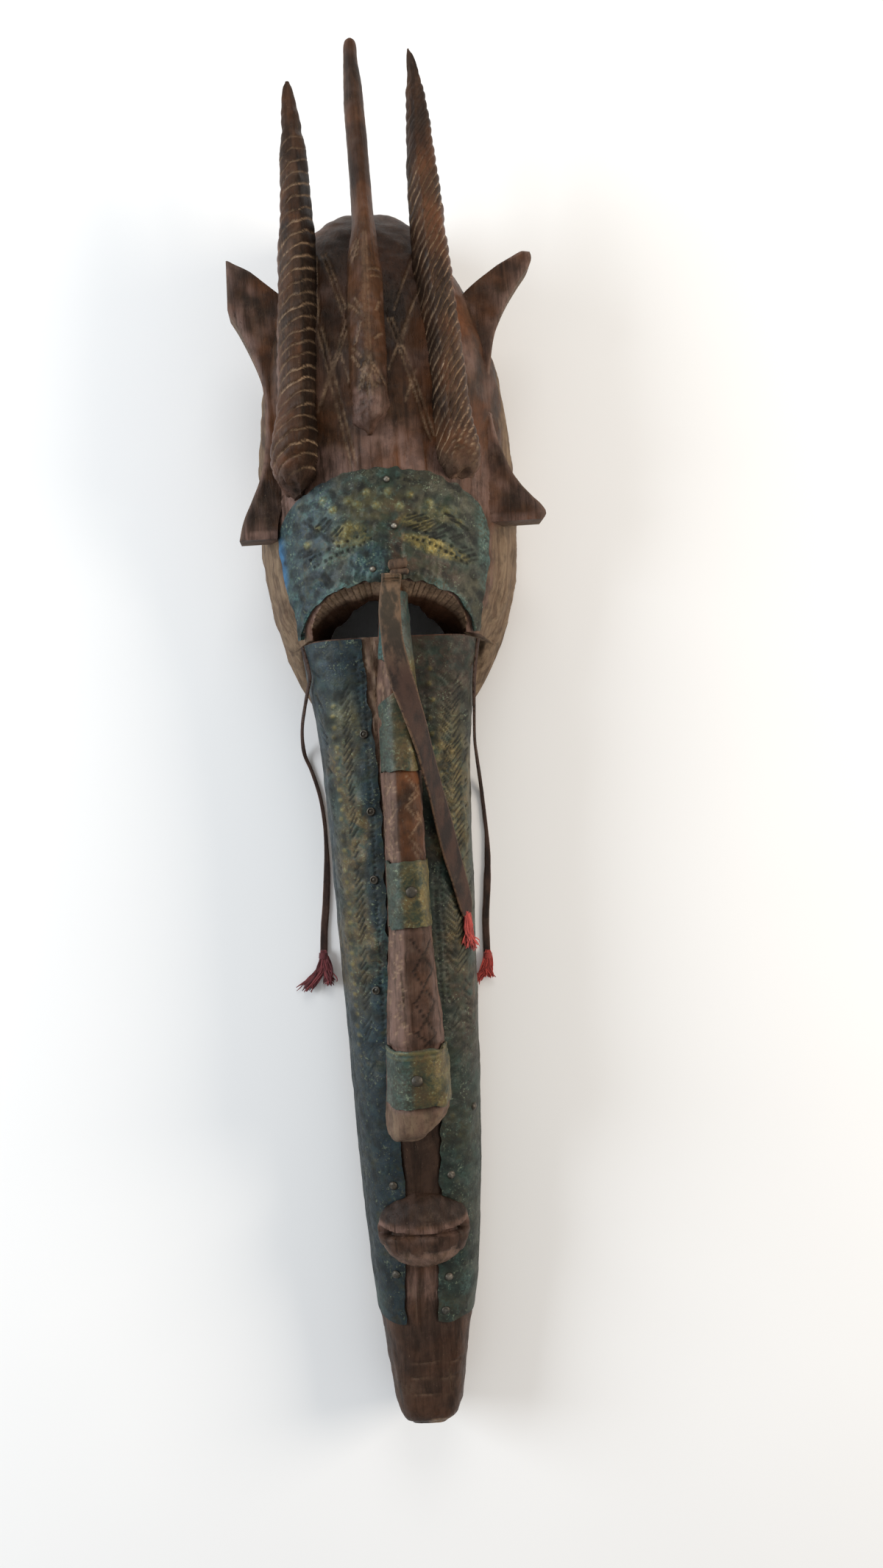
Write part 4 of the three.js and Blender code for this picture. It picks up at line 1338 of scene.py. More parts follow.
    def build(self) -> Thing:
        """Joins all the carvings into one piece of wood.

        Returns:
            The wood, still without its finish.
        """
        wood = make_piece("carved_wood", self.dome())
        combine(wood, [make_piece("eyes", self.eye_cutter())], Change.CUT)
        carvings = (self.face(), LEFT_HORN.build(), RIGHT_HORN.build(), CREST.build(), LEFT_EAR.build(),
                    RIGHT_EAR.build(), self.mouth())
        combine(wood, [make_piece("carving", shape) for shape in carvings], Change.JOIN)
        combine(wood, [make_piece("hollow", self.hollow())], Change.CUT)
        combine(wood, [make_piece("nose", self.nose())], Change.JOIN)
        mend_seams(wood.data, WOOD_VALUES)
        smooth(wood.data, sharp_degrees=42)
        return wood

    def dress(self, wood: Thing, finish: "WoodFinish") -> None:
        """Gives the wood its finish and its place in the model."""
        declare_piece(wood, self.node, finish.build(), "carved_wood")


LEFT_INNER_EDGE = Profile([[-322, -14.4], [-240, -10.4], [-190, -13], [0, -11.8], [86, -16.8]])
RIGHT_INNER_EDGE = Profile([[-322, 5], [-240, 10], [-190, 13], [86, 4]])


def scattered(random: np.random.Generator, count: int, x: Span, y: Span, run: Span, rise: Span) -> list:
    """Short strokes that start at random within x and y and go on by a random run and rise.

    Args:
        random: Source of the random numbers.
        count: How many strokes there are.
        x: Least and greatest x of a start.
        y: Least and greatest y of a start.
        run: Least and greatest change of x.
        rise: Least and greatest change of y.

    Returns:
        One row [x0, y0, x1, y1] for each stroke.
    """
    rows = []
    for _ in range(count):
        start_x, start_y = random.uniform(*x), random.uniform(*y)
        rows.append([start_x, start_y, start_x + random.uniform(*run), start_y + random.uniform(*rise)])
    return rows


def chevrons(middle: Pairs, reach: float, drop: float, pitch: float, seed: int, skip: float) -> Array:
    """Two slanting strokes that meet on a middle line, repeated down the line.

    Args:
        middle: Points of the middle line, x and y.
        reach: How far each stroke reaches sideways.
        drop: How much lower a stroke ends at the middle line.
        pitch: Distance between one pair and the next.
        seed: Which of the many hand-made variations it is.
        skip: Share of the strokes that are worn away.

    Returns:
        One row [x0, y0, x1, y1] for each stroke.
    """
    random = np.random.default_rng(seed)
    rows = []
    for x, y in chain(middle, pitch):
        for side in (-1, 1):
            if random.random() < skip:
                continue
            jitter = random.normal(0, 0.5, 4)
            rows.append([x + side * (0.4 + jitter[0] * 0.5), y - drop / 2 + jitter[1],
                         x + side * (reach + jitter[2]), y + drop / 2 + jitter[3]])
    return np.array(rows)


def slanted(line: Pairs, across: float, rise: float, pitch: float, seed: int, skip: float = 0.1) -> Array:
    """Parallel slanting strokes whose middles lie on a line.

    Args:
        line: Points of the line, x and y.
        across: How far a stroke reaches along x.
        rise: How far a stroke reaches along y.
        pitch: Distance between one stroke and the next.
        seed: Which of the many hand-made variations it is.
        skip: Share of the strokes that are worn away.

    Returns:
        One row [x0, y0, x1, y1] for each stroke.
    """
    random = np.random.default_rng(seed)
    rows = []
    for x, y in chain(line, pitch):
        if random.random() < skip:
            continue
        jitter = random.normal(0, 0.5, 4)
        size = random.uniform(0.6, 1.15)
        rows.append([x - across / 2 * size + jitter[0], y - rise / 2 * size + jitter[1],
                     x + across / 2 * size + jitter[2], y + rise / 2 * size + jitter[3]])
    return np.array(rows)


def row_of_dots(line: Pairs, pitch: float, amount: float, seed: int) -> Array:
    """Evenly spaced points along a line, moved a little as by hand."""
    points = chain(line, pitch)
    return points + np.random.default_rng(seed).normal(0, amount, points.shape)


@dataclass
class Relief:
    """What is hammered into a sheet of metal, seen from the front."""

    strokes: Array
    pits: Array
    bosses: Array
    stroke_half_width: float = 0.8
    stroke_depth: float = 0.5
    pit_radius: float = 1.25
    pit_depth: float = 0.75
    boss_radius: float = 2.6
    boss_height: float = 0.8

    def read(self, plan: Array) -> tuple[Array, Array]:
        """Height and darkness of the relief.

        Args:
            plan: x and y of each point.

        Returns:
            The height in millimetres and how dark its dirt is, from 0 to 1.
        """
        stroke = near_strokes(plan, self.strokes, self.stroke_half_width)
        pit = near_dots(plan, self.pits, self.pit_radius)
        boss = near_dots(plan, self.bosses, self.boss_radius)
        height = self.boss_height * boss - self.stroke_depth * stroke - self.pit_depth * pit
        return height, held(np.maximum(0.85 * stroke, 0.95 * pit))


@dataclass
class BrowSheet:
    """The embossed sheet over the brow, from the forehead down to the eyes."""

    node: str = "brow_sheet"
    columns: int = 230
    rows: int = 120
    half_width: float = 61.0
    low_y: float = 88.5
    shoulder_y: float = 147.0
    rise: float = 30.0
    seam_x: float = 7.5

    def relief(self) -> Relief:
        """Bosses over the forehead, hatching, and two rows of punched dots over each eye.

        Returns:
            What is hammered into the sheet.
        """
        bosses = np.array([
            [-29, 156], [-20, 160], [-15.5, 157.5], [-10, 163.5], [2, 163.5], [14, 161.5], [25, 158],
            [34, 154], [-38, 147], [-44, 139], [42, 147], [-34, 162], [8, 155], [-5, 156],
        ], float)
        left_brow = np.array([[-41, 126], [-24, 131.5], [-9, 137.5]])
        right_brow = np.array([[14, 137.5], [28, 133], [45, 124.5]])
        pits = [
            row_of_dots(left_brow, 3.4, 0.25, 201),
            row_of_dots(right_brow, 3.4, 0.25, 202),
            row_of_dots(left_brow + [-2, 4.2], 5.5, 0.3, 203),
            row_of_dots(right_brow + [2, 4.2], 5.5, 0.3, 204),
            row_of_dots([[8, 170], [20, 169]], 3.0, 0.4, 205),
        ]
        strokes = [
            slanted([[14, 150], [34, 142]], 7, 3.2, 2.5, 206, 0.05),
            slanted([[15, 144], [30, 138]], 6.5, 2.6, 2.8, 207),
            slanted([[40, 140], [49, 127]], 6.0, 2.4, 2.6, 208),
            slanted([[-43, 151], [-32, 140]], 4.5, -4.5, 2.6, 209),
            slanted([[-36, 150], [-25, 143]], 4.5, 4.5, 2.8, 210),
            slanted([[36, 151], [46, 143]], 5, -2.2, 2.7, 211, 0.2),
            slanted([[-48, 136], [-40, 130]], 5, 1.5, 2.6, 212, 0.2),
        ]
        return Relief(np.vstack(strokes), np.vstack(pits), bosses, stroke_half_width=1.0)

    def outline_plan(self) -> Array:
        """Points of the sheet seen from the front, rows from the lower edge to the upper edge.

        Returns:
            The x and y of each point.
        """
        arch = eye_arch(FINE_STEPS)
        lower = resampled(arch[arch[:, 1] > self.low_y][::-1], self.columns)
        angle = np.linspace(math.pi, 0, 400)
        upper_arc = [self.half_width * np.cos(angle), self.shoulder_y + self.rise * np.sin(angle)]
        left_side = np.array([[-53, self.low_y], [-54.5, 104], [-60, 126]])
        right_side = left_side[::-1] * [-1, 1]
        upper = np.vstack([rounded(left_side), np.transpose(upper_arc), rounded(right_side)])
        return lower + (resampled(upper, self.columns) - lower) * np.linspace(0, 1, self.rows)[:, None, None]

    def build(self) -> Thing:
        """Makes the sheet on the dome, with its relief and its uneven edges.

        Returns:
            The piece, still without its finish.
        """
        plan = self.outline_plan()
        share = np.linspace(0, 1, self.rows)[:, None]
        edge = ease(share, 0.06, 0.0) + ease(share, 0.94, 1.0)
        plan = plan + (edge * 0.7 * ripple(plan, 9, 221))[..., None] * [0.6, 1.0]
        relief = self.relief()
        height, dirt = relief.read(plan)
        lower = on_body(DOME.section, plan, CLEARANCE)
        x, y = plan[..., 0], plan[..., 1]
        dents = 0.5 * ripple(plan, 16, 222) + 0.18 * ripple(plan, 5, 223)
        seam = ease(np.abs(x - self.seam_x), 2.0, 0.2) * ease(y, 150, 140)
        folded = ease(np.hypot((x - self.seam_x) / 6.5, (y - 123) / 4.4), 1.6, 0.8)
        lift = np.maximum(dents * (1 - edge * 0.6), -0.2) + 0.35 + height + 0.6 * seam
        top = lower + outward_normals(lower) * (SHEET_THICKNESS * 0.8 + lift)[..., None]
        vivid = ease(x, -55.5, -59.5) * ease(y, 110, 122) * ease(y, 150, 140)

        def patch(centre_x: float, centre_y: float, wide: float, high: float, slope: float = 0.0) -> Array:
            """1 in the middle of an oval patch, falling to 0 at its edge."""
            along, above = x - centre_x, y - centre_y - slope * (x - centre_x)
            return ease(np.hypot(along / wide, above / high), 1.15, 0.55)

        bossed = near_dots(plan, relief.bosses, 3.5)
        gold = held(patch(27, 132.5, 21, 5.5, -0.28) + 0.8 * patch(17, 146, 12, 5, -0.15)
                    + 0.95 * bossed + 0.75 * patch(-20, 141, 12, 8) + 0.3 * patch(-26, 131, 15, 5, 0.35)
                    + 0.2 * patch(-8, 156, 22, 9) + 0.3 * patch(30, 152, 16, 7))
        brown = held(0.85 * patch(6, 139, 6, 19) + 0.6 * patch(27, 121, 19, 8, -0.3)
                     + 0.5 * patch(5, 154, 12, 7) + 0.9 * folded)
        verdigris = (0.8 * ease(share, 0.13, 0.0) * ease(np.abs(x - 1), 14, 24)
                     + 0.7 * ease(x, 50, 57) * ease(y, 100, 120) + 0.3 * ease(x, -46, -54)
                     + 0.4 * patch(-38, 160, 12, 9) + 0.4 * bossed + 0.55 * patch(-28, 131, 15, 5, 0.35)
                     + 0.4 * patch(-11, 124, 13, 9)
                     + 0.3 * ease(ripple(plan, 6, 231), 0.2, 0.7) * (1 - gold) * ease(x, 30, 0))
        shape = shell(
            top, lower,
            dirt=np.maximum(dirt, 0.55 * ease(ripple(plan, 8, 232), 0.1, 0.8) * (1 - gold)),
            gold=gold,
            blue=(0.95 * ease(x, -18, -40) + vivid + 0.95 * patch(-11, 125, 14, 11)
                  + 0.5 * ease(y, 112, 100) * ease(x, 10, -10)),
            brown=brown * (1 - bossed),
            verdigris=verdigris,
            vivid=vivid,
            rubbed=np.maximum(0.5 * held(height / relief.boss_height), near_dots(plan, relief.bosses, 2.8)),
        )
        return make_piece(self.node + "_metal", shape, sharp_degrees=50)


@dataclass
class CheekSheet:
    """One embossed sheet that wraps a side of the long face."""

    node: str
    side: int
    inner_edge: Profile
    seed: int
    top_y: float = 85.0
    low_y: float = -322.0
    side_z: float = 9.0
    rows: int = 430
    columns: int = 84

    def relief(self) -> Relief:
        """Chevrons along the cheek, a column of bosses and columns of punched dots.

        Returns:
            What is hammered into the sheet.
        """
        if self.side < 0:
            strokes = [
                slanted([[-43.5, 68], [-38, -60], [-36, -170]], 4.2, -6.4, 3.9, 301, 0.12),
                slanted([[-28.5, 55], [-26.5, -60], [-25.5, -180]], 4.2, 7.4, 4.1, 302, 0.12),
                slanted([[-33, -185], [-30, -305]], 4.5, -4.8, 3.6, 303, 0.3),
                slanted([[-22, -190], [-21, -300]], 4.5, 4.8, 3.6, 304, 0.3),
            ]
            bosses = [row_of_dots([[-35.5, 48], [-33, -60], [-31.5, -185]], 6.2, 0.4, 305),
                      row_of_dots([[-29, -200], [-27, -300]], 11, 1.2, 306)]
            pits = [row_of_dots([[-17.2, 72], [-16.6, -40], [-17.2, -150]], 3.1, 0.3, 307),
                    row_of_dots([[-16, -165], [-15.4, -285]], 4.4, 0.5, 308),
                    row_of_dots([[-20.5, 74], [-20, 35]], 3.2, 0.35, 309)]
        else:
            strokes = [
                chevrons([[33, 60], [31, 0], [29, -60], [28, -110]], 5.8, 6.6, 3.8, 311, 0.06),
                slanted([[25, -130], [24, -300]], 5, 4.6, 3.5, 312, 0.25),
                slanted([[33, -120], [30, -300]], 4.6, -4.6, 3.5, 313, 0.3),
                slanted([[41.5, 62], [38, -80]], 3.2, 3.4, 3.6, 314, 0.3),
            ]
            bosses = [row_of_dots([[21, 66], [20.5, 20]], 9, 0.6, 315),
                      row_of_dots([[22.5, -185], [21, -290]], 14, 1.2, 316)]
            pits = [row_of_dots([[17.5, 52], [18.5, -36]], 3.3, 0.35, 317),
                    row_of_dots([[16.5, -48], [17.5, -130]], 3.2, 0.35, 318),
                    row_of_dots([[20.6, -50], [21.4, -128]], 3.4, 0.35, 319),
                    row_of_dots([[17, -150], [14.5, -280]], 4.6, 0.6, 320)]
        return Relief(np.vstack(strokes), np.vstack(pits), np.vstack(bosses), stroke_half_width=0.72,
                      boss_radius=2.1, boss_height=0.5)

    def build(self) -> Thing:
        """Makes the sheet around the face, from its inner edge to the back.

        Returns:
            The piece, still without its finish.
        """
        stations = np.linspace(self.top_y, self.low_y, self.rows)

        def is_covered(x: Array, z: Array, y: float) -> Array:
            """Tells which points of an arch lie outside the inner edge and above the back."""
            return (self.side * (x - self.inner_edge(y)) > 0) & (z > self.side_z)

        lower = wrapped(FACE.section, stations, is_covered, self.columns)[:, ::-self.side]
        along = np.linspace(0, 1, self.rows)[:, None]
        across = np.linspace(0, 1, self.columns)[None, :]
        plan = lower[..., :2]
        x, y, z = split(lower)
        front = ease(z, 44, 54)
        strong = front * (0.2 + 0.8 * ease(y, -225, -110))
        height, dirt = (value * strong for value in self.relief().read(plan))
        side_hatch = self.side_hatch(lower) * (1 - front)
        height, dirt = height - 0.3 * side_hatch, np.maximum(dirt, 0.5 * side_hatch)
        seed = self.seed
        edges = held(ease(across, 0.04, 0) + ease(across, 0.96, 1) + ease(along, 0.01, 0)
                     + ease(along, 0.985, 1))
        dents = (0.5 * ripple(lower, 26, seed) + 0.2 * ripple(lower, 8, seed + 1)) * (0.4 + 0.6 * front)
        lift = np.maximum(dents * (1 - 0.5 * edges), -0.15) + 0.3 + height
        top = lower + outward_normals(lower) * (SHEET_THICKNESS * 0.8 + lift)[..., None]
        bottom = lower.copy()
        for grid in (top, bottom):
            grid[..., 1] += edges * ease(along, 0.98, 1) * 1.3 * ripple(lower[..., :1], 22, seed + 2)
            grid[..., 0] += ease(across, 0.05, 0) * 0.55 * ripple(lower[..., 1:2], 17, seed + 3)
            grid[..., 2] += ease(across, 0.96, 1) * 0.9 * (1 + ripple(lower[..., 1:2], 30, seed + 4))
        top, bottom = self.below_mouth(top, 1.0), self.below_mouth(bottom, 0.0)
        wander = ripple(plan, 40, seed + 5)
        if self.side < 0:
            worn = np.abs(x + 30 - 3 * wander), np.abs(x + 30 - 4 * wander)
            blue = (0.9 * ease(x + 5 * wander, -33, -42) + 0.7 * ease(y, 45, 75) + 0.35 * ease(z, 55, 40)
                    + 0.9 * ease(y, -90, -170) + 0.5 * ease(x, -25, -19) + 0.3)
            gold = 0.34 * ease(worn[0], 11, 4) * ease(y, 62, 40) * ease(y, -150, -90)
            brown = 0.9 * ease(worn[1], 11, 4) * ease(y, 45, 5) * ease(y, -150, -90)
            verdigris = (0.35 * ease(x, -22, -16) * ease(y, -75, -95) * ease(y, -150, -125)
                         + 0.5 * ease(np.hypot((x + 31) / 9, (y + 314) / 12), 1.1, 0.4))
            # dim darkens the sheet towards the chin and a little near its top.
            dim = 0.42 * ease(y, -120, -200) + 0.1 * ease(y, 30, 60)
        else:
            worn = np.abs(x - 32 - 4 * wander), np.abs(x - 31 - 5 * wander)
            blue = (0.1 * ease(y, 20, -20) + 0.1 * ease(y, -200, -290)
                    + 0.15 * ease(x, 40, 46) * ease(y, 0, 50))
            gold = 0.5 * ease(worn[0], 12, 4) * ease(y, 52, 26) * ease(y, -150, -60)
            brown = (0.85 * ease(y, 35, 62)
                     + 0.85 * ease(worn[1], 13, 4) * ease(y, 60, 10) * ease(y, -210, -120))
            verdigris = (0.1 * ease(y, -120, -200)
                         + 0.3 * ease(np.hypot((x - 24) / 7, (y + 303) / 9), 1.1, 0.4))
            # dim darkens the sheet near its top and a little towards the chin.
            dim = 0.34 * ease(y, 30, 62) + 0.14 * ease(y, -120, -200)
        shape = shell(
            top, bottom,
            # The dirt value also carries dim, a darkening by place along the face.
            dirt=np.maximum(np.maximum(dirt, dim), 0.42 * ease(ripple(plan, 13, seed + 6), 0.1, 0.9)),
            gold=gold,
            blue=blue,
            brown=brown,
            verdigris=held(verdigris) + 0.16 * ease(ripple(plan, 8, seed + 7), 0.2, 0.9) * front,
            vivid=0.0,
            rubbed=held(height / 0.6) * front,
        )
        return make_piece(self.node + "_metal", shape, sharp_degrees=50)

    def side_hatch(self, grid: Array) -> Array:
        """Slanting strokes along the side of the face, seen from the side.

        Args:
            grid: Points of the sheet.

        Returns:
            How deep each point lies inside a stroke, 0 to 1.
        """
        plan = grid[..., [2, 1]]
        strokes = np.vstack([
            slanted([[38, 76], [36, -300]], 5, 5.6, 3.6, 351 + self.side, 0.1),
            slanted([[27, 76], [25, -300]], 5, -5.6, 3.6, 353 + self.side, 0.1),
        ])
        return near_strokes(plan, strokes, 1.0)

    def below_mouth(self, grid: Array, above: float) -> Array:
        """Sinks what lies under the lips into the wood, so that the sheet ends at the mouth.

        Args:
            grid: Points of one side of the sheet.
            above: How much deeper than the lower side of the sheet they sink.

        Returns:
            The moved points.
        """
        x = (grid[..., 0] - MOUTH.x) / (MOUTH.half_length + 0.6)
        y = (grid[..., 1] - MOUTH.y) / (MOUTH.half_height + 0.6)
        inside = ease(np.hypot(x, y), 0.98, 0.8)
        grid = grid.copy()
        grid[..., 2] -= inside * (2.2 + above)
        return grid


@dataclass
class NoseSheet:
    """One plain band of metal around the front of the nose."""

    node: str
    start_y: float
    end_y: float
    low_z: float
    seed: int
    gold: float
    is_rolled: bool = False
    columns: int = 60

    def build(self) -> Thing:
        """Makes the band with dents, and with a rolled upper edge where it has one.

        Returns:
            The piece, still without its finish.
        """
        count = max(int(abs(self.end_y - self.start_y) / 0.95), 12)
        stations = np.linspace(self.start_y, self.end_y, count)

        def is_covered(x: Array, z: Array, y: float) -> Array:
            """Tells which points of an arch lie above the band's lower edge and right of its left edge."""
            return (z > self.low_z) & (x > NOSE_SHEET_EDGE(y))

        lower = wrapped(NOSE.section, stations, is_covered, self.columns)
        x, y, _ = split(lower)
        along = np.linspace(0, 1, count)[:, None]
        across = np.linspace(0, 1, self.columns)[None, :]
        dents = 0.3 * ripple(lower, 12, self.seed) + 0.12 * ripple(lower, 4, self.seed + 1)
        roll = np.zeros_like(dents)
        if self.is_rolled:
            run = np.abs(y - self.start_y)
            roll = 0.5 * ease(np.abs(run - 1.4), 1.4, 0.3) + 0.35 * ease(np.abs(run - 4.6), 1.3, 0.3)
        lift = np.maximum(dents, -0.1) + 0.22 + roll
        top = lower + outward_normals(lower) * (SHEET_THICKNESS * 0.75 + lift)[..., None]
        bottom = lower.copy()
        end = ease(along, 0.03, 0) + ease(along, 0.97, 1)
        side = ease(across, 0.04, 0) + ease(across, 0.96, 1)
        for grid in (top, bottom):
            grid[..., 1] += end * 0.6 * ripple(lower[..., [0, 2]], 9, self.seed + 2)
            grid[..., 2] += side * 0.8 * ripple(lower[..., 1:2], 10, self.seed + 3)
        from_middle = x - NOSE.middle(y)
        left = ease(from_middle, -2, -6)
        bright = ease(y, 66, 76)
        shape = shell(
            top, bottom,
            dirt=0.25 * end,
            gold=self.gold * (1 - 0.6 * left) * (0.55 + 0.45 * ease(from_middle, 2, 7)) * (1 - 0.8 * bright),
            blue=0.35 * left,
            brown=held(0.85 + 0.4 * ripple(lower, 14, self.seed + 5)) * (1 - 0.7 * left),
            verdigris=0.28 * left + 0.15 * end + (0.35 + 0.35 * left) * bright,
            vivid=0.06 * bright,
            rubbed=1.2 * roll,
        )
        return make_piece(self.node + "_metal", shape, sharp_degrees=50)


def curve_through(points: Array, per_segment: int) -> Array:
    """A smooth centripetal curve through points, the same one as the straps' solids follow.

    Args:
        points: Rows of x, y, z and any further values, such as a tilt.
        per_segment: How many steps lie between one point and the next.

    Returns:
        The points of the curve, with the further values in between.
    """
    points = np.asarray(points, float)
    ends = np.vstack([2 * points[0] - points[1], points, 2 * points[-1] - points[-2]])
    share = np.linspace(0, 1, per_segment, endpoint=False)[:, None]
    curve = []
    for a, b, c, d in zip(ends, ends[1:], ends[2:], ends[3:]):
        t0, t1, t2 = (max(np.linalg.norm((q - p)[:3]) ** 0.5, 1e-4) for p, q in ((a, b), (b, c), (c, d)))
        slope_b = ((b - a) / t0 - (c - a) / (t0 + t1) + (c - b) / t1) * t1
        slope_c = ((c - b) / t1 - (d - b) / (t1 + t2) + (d - c) / t2) * t1
        curve.append(smooth_run(share, b, c, slope_b, slope_c))
    return np.vstack([*curve, points[-1:]])


def frames_along(path: Array, facing: Array) -> tuple[Array, Array]:
    """Directions across a path and out of it, nearest to the way that it should face.

    Args:
        path: Points of the path.
        facing: The way to face, one direction for each point.

    Returns:
        The directions across and the directions out.
    """
    tangent = unit(np.gradient(path, axis=0))
    across = unit(np.cross(facing, tangent))
    return across, np.cross(tangent, across)


FLAT_STRAP_WIDTH = Profile([
    [0, 0.92], [0.12, 0.98], [0.3, 1.16], [0.5, 1.2], [0.8, 1.12], [0.96, 0.98], [1, 0.75],
])
FLAT_STRAP_PULL = Profile([[0, 0.9], [0.12, 3.1], [0.3, 1.4], [0.5, 0.3], [0.7, 0], [1, 0]])


class Lay(Enum):
    """How the visible width of a strap changes along it."""

    EDGEWISE = "seen on its edge, then turning flat near its end"
    FLAT = "flat all along"


@dataclass
class Strap:
    """A leather strap that hangs from the mask and ends in a tassel."""

    node: str
    width: float
    thickness: float
    route: Pairs
    lay: Lay
    seed: int

    def build(self) -> Thing:
        """Makes the strap with worn, uneven edges.

        Returns:
            The piece, still without its finish.
        """
        line = curve_through(self.route, 10)
        tilt = np.radians(line[:, 3])
        facing = np.stack([np.sin(tilt), 0 * tilt, np.cos(tilt)], 1)
        across, facing = frames_along(line[:, :3], facing)
        share = np.linspace(0, 1, len(line))
        corners = np.array([
            [0.5, 0.1], [0.47, 0.34], [0.4, 0.47], [0.2, 0.5], [0, 0.47], [-0.2, 0.5], [-0.4, 0.47],
            [-0.47, 0.34], [-0.5, 0.1],
        ])
        outline = np.vstack([corners, -corners])
        wander = 1 + 0.025 * ripple(line[:, :3], 14, self.seed)[:, None, None]
        if self.lay is Lay.EDGEWISE:
            narrow = 0.52 + 0.48 * ease(share, 0.7, 0.86)
            folds = pulled = 0 * share
        else:
            narrow = FLAT_STRAP_WIDTH(share)
            folds = ease(share, 0.05, 0.035) * (1.1 + 0.8 * np.sin(share * 420))
            pulled = FLAT_STRAP_PULL(share)
        size = np.stack([self.width * narrow, self.thickness * (1 + folds)], 1)
        sections = outline[None] * size[:, None] * wander
        sections[..., 0] -= pulled[:, None]
        shape = swept(line[:, :3], across, facing, sections, {
            "edge": ease(np.abs(outline[:, 0]), 0.42, 0.5), "along": share[:, None],
        })
        return make_piece(self.node + "_leather", shape, sharp_degrees=60)

    def rolled_end(self) -> Thing:
        """Makes the two turns of leather that lie rolled up above the strap.

        Returns:
            The piece, still without its finish.
        """
        upper = self.turn([-0.6, 121.6, 102.9], [10.4, 122.8, 102.7], 3.4, 2.5)
        lower = self.turn([0.2, 117.4, 103.4], [10.8, 117.8, 103.2], 1.9, 1.7)
        return make_piece(self.node + "_roll", gathered([upper, lower]), sharp_degrees=60)

    def turn(self, start: Sequence[float], end: Sequence[float], wide: float, high: float) -> Shape:
        """One turn of the rolled leather, from its left end to its right end.

        Args:
            start: Left end of its middle line.
            end: Right end of its middle line.
            wide: Its reach along the mask, to each side of that line.
            high: Its reach outwards and inwards.

        Returns:
            The body of the turn.
        """
        share = np.linspace(0, 1, 15)
        path = np.outer(1 - share, start) + np.outer(share, end)
        angle = full_turn(14)
        outline = np.stack([wide * np.cos(angle), high * np.sin(angle)], 1)
        girth = oval(share * 2 - 1, 5.0) * (0.94 + 0.06 * ripple(path, 5, self.seed + 1))
        sections = outline[None] * np.maximum(girth, 0.3)[:, None, None]
        ones = np.ones(len(path))[:, None]
        ends = ease(np.abs(share - 0.5), 0.36, 0.5)[:, None]
        return swept(path, ones * [0, 1, 0], ones * [0, 0, 1], sections, {"edge": 0.8 * ends, "along": 0.2})

    def declare(self, piece: Thing, pieces: Sequence[Thing]) -> None:
        """Meant to say that the strap is a free cord with what is tied to its end, but does nothing.

        Args:
            piece: The strap; not used.
            pieces: What is tied to it or rolled up on it; not used.
        """


def strand(path: Array, radius: float, tint: float, sides: int = 5) -> Shape:
    """A thin round thread of one tint along a path.

    Args:
        path: Points of its middle line.
        radius: Half its thickness.
        tint: Its place between the two tones of the cotton.
        sides: How many sides it has.

    Returns:
        The body of the thread.
    """
    tangent = unit(np.gradient(path, axis=0))
    helper = np.where(np.abs(tangent[:, 2:3]) > 0.9, [[1.0, 0, 0]], [[0, 0, 1.0]])
    across, facing = frames_along(path, helper)
    turn = full_turn(sides)
    outline = np.stack([np.cos(turn), np.sin(turn)], 1) * radius
    taper = np.ones(len(path))
    taper[-1] = 0.5
    return swept(path, across, facing, outline[None] * taper[:, None, None], {"tint": tint})


@dataclass
class Bunch:
    """Some of a tassel's strands, which end together."""

    count: int
    ends_at: Span
    spread: float


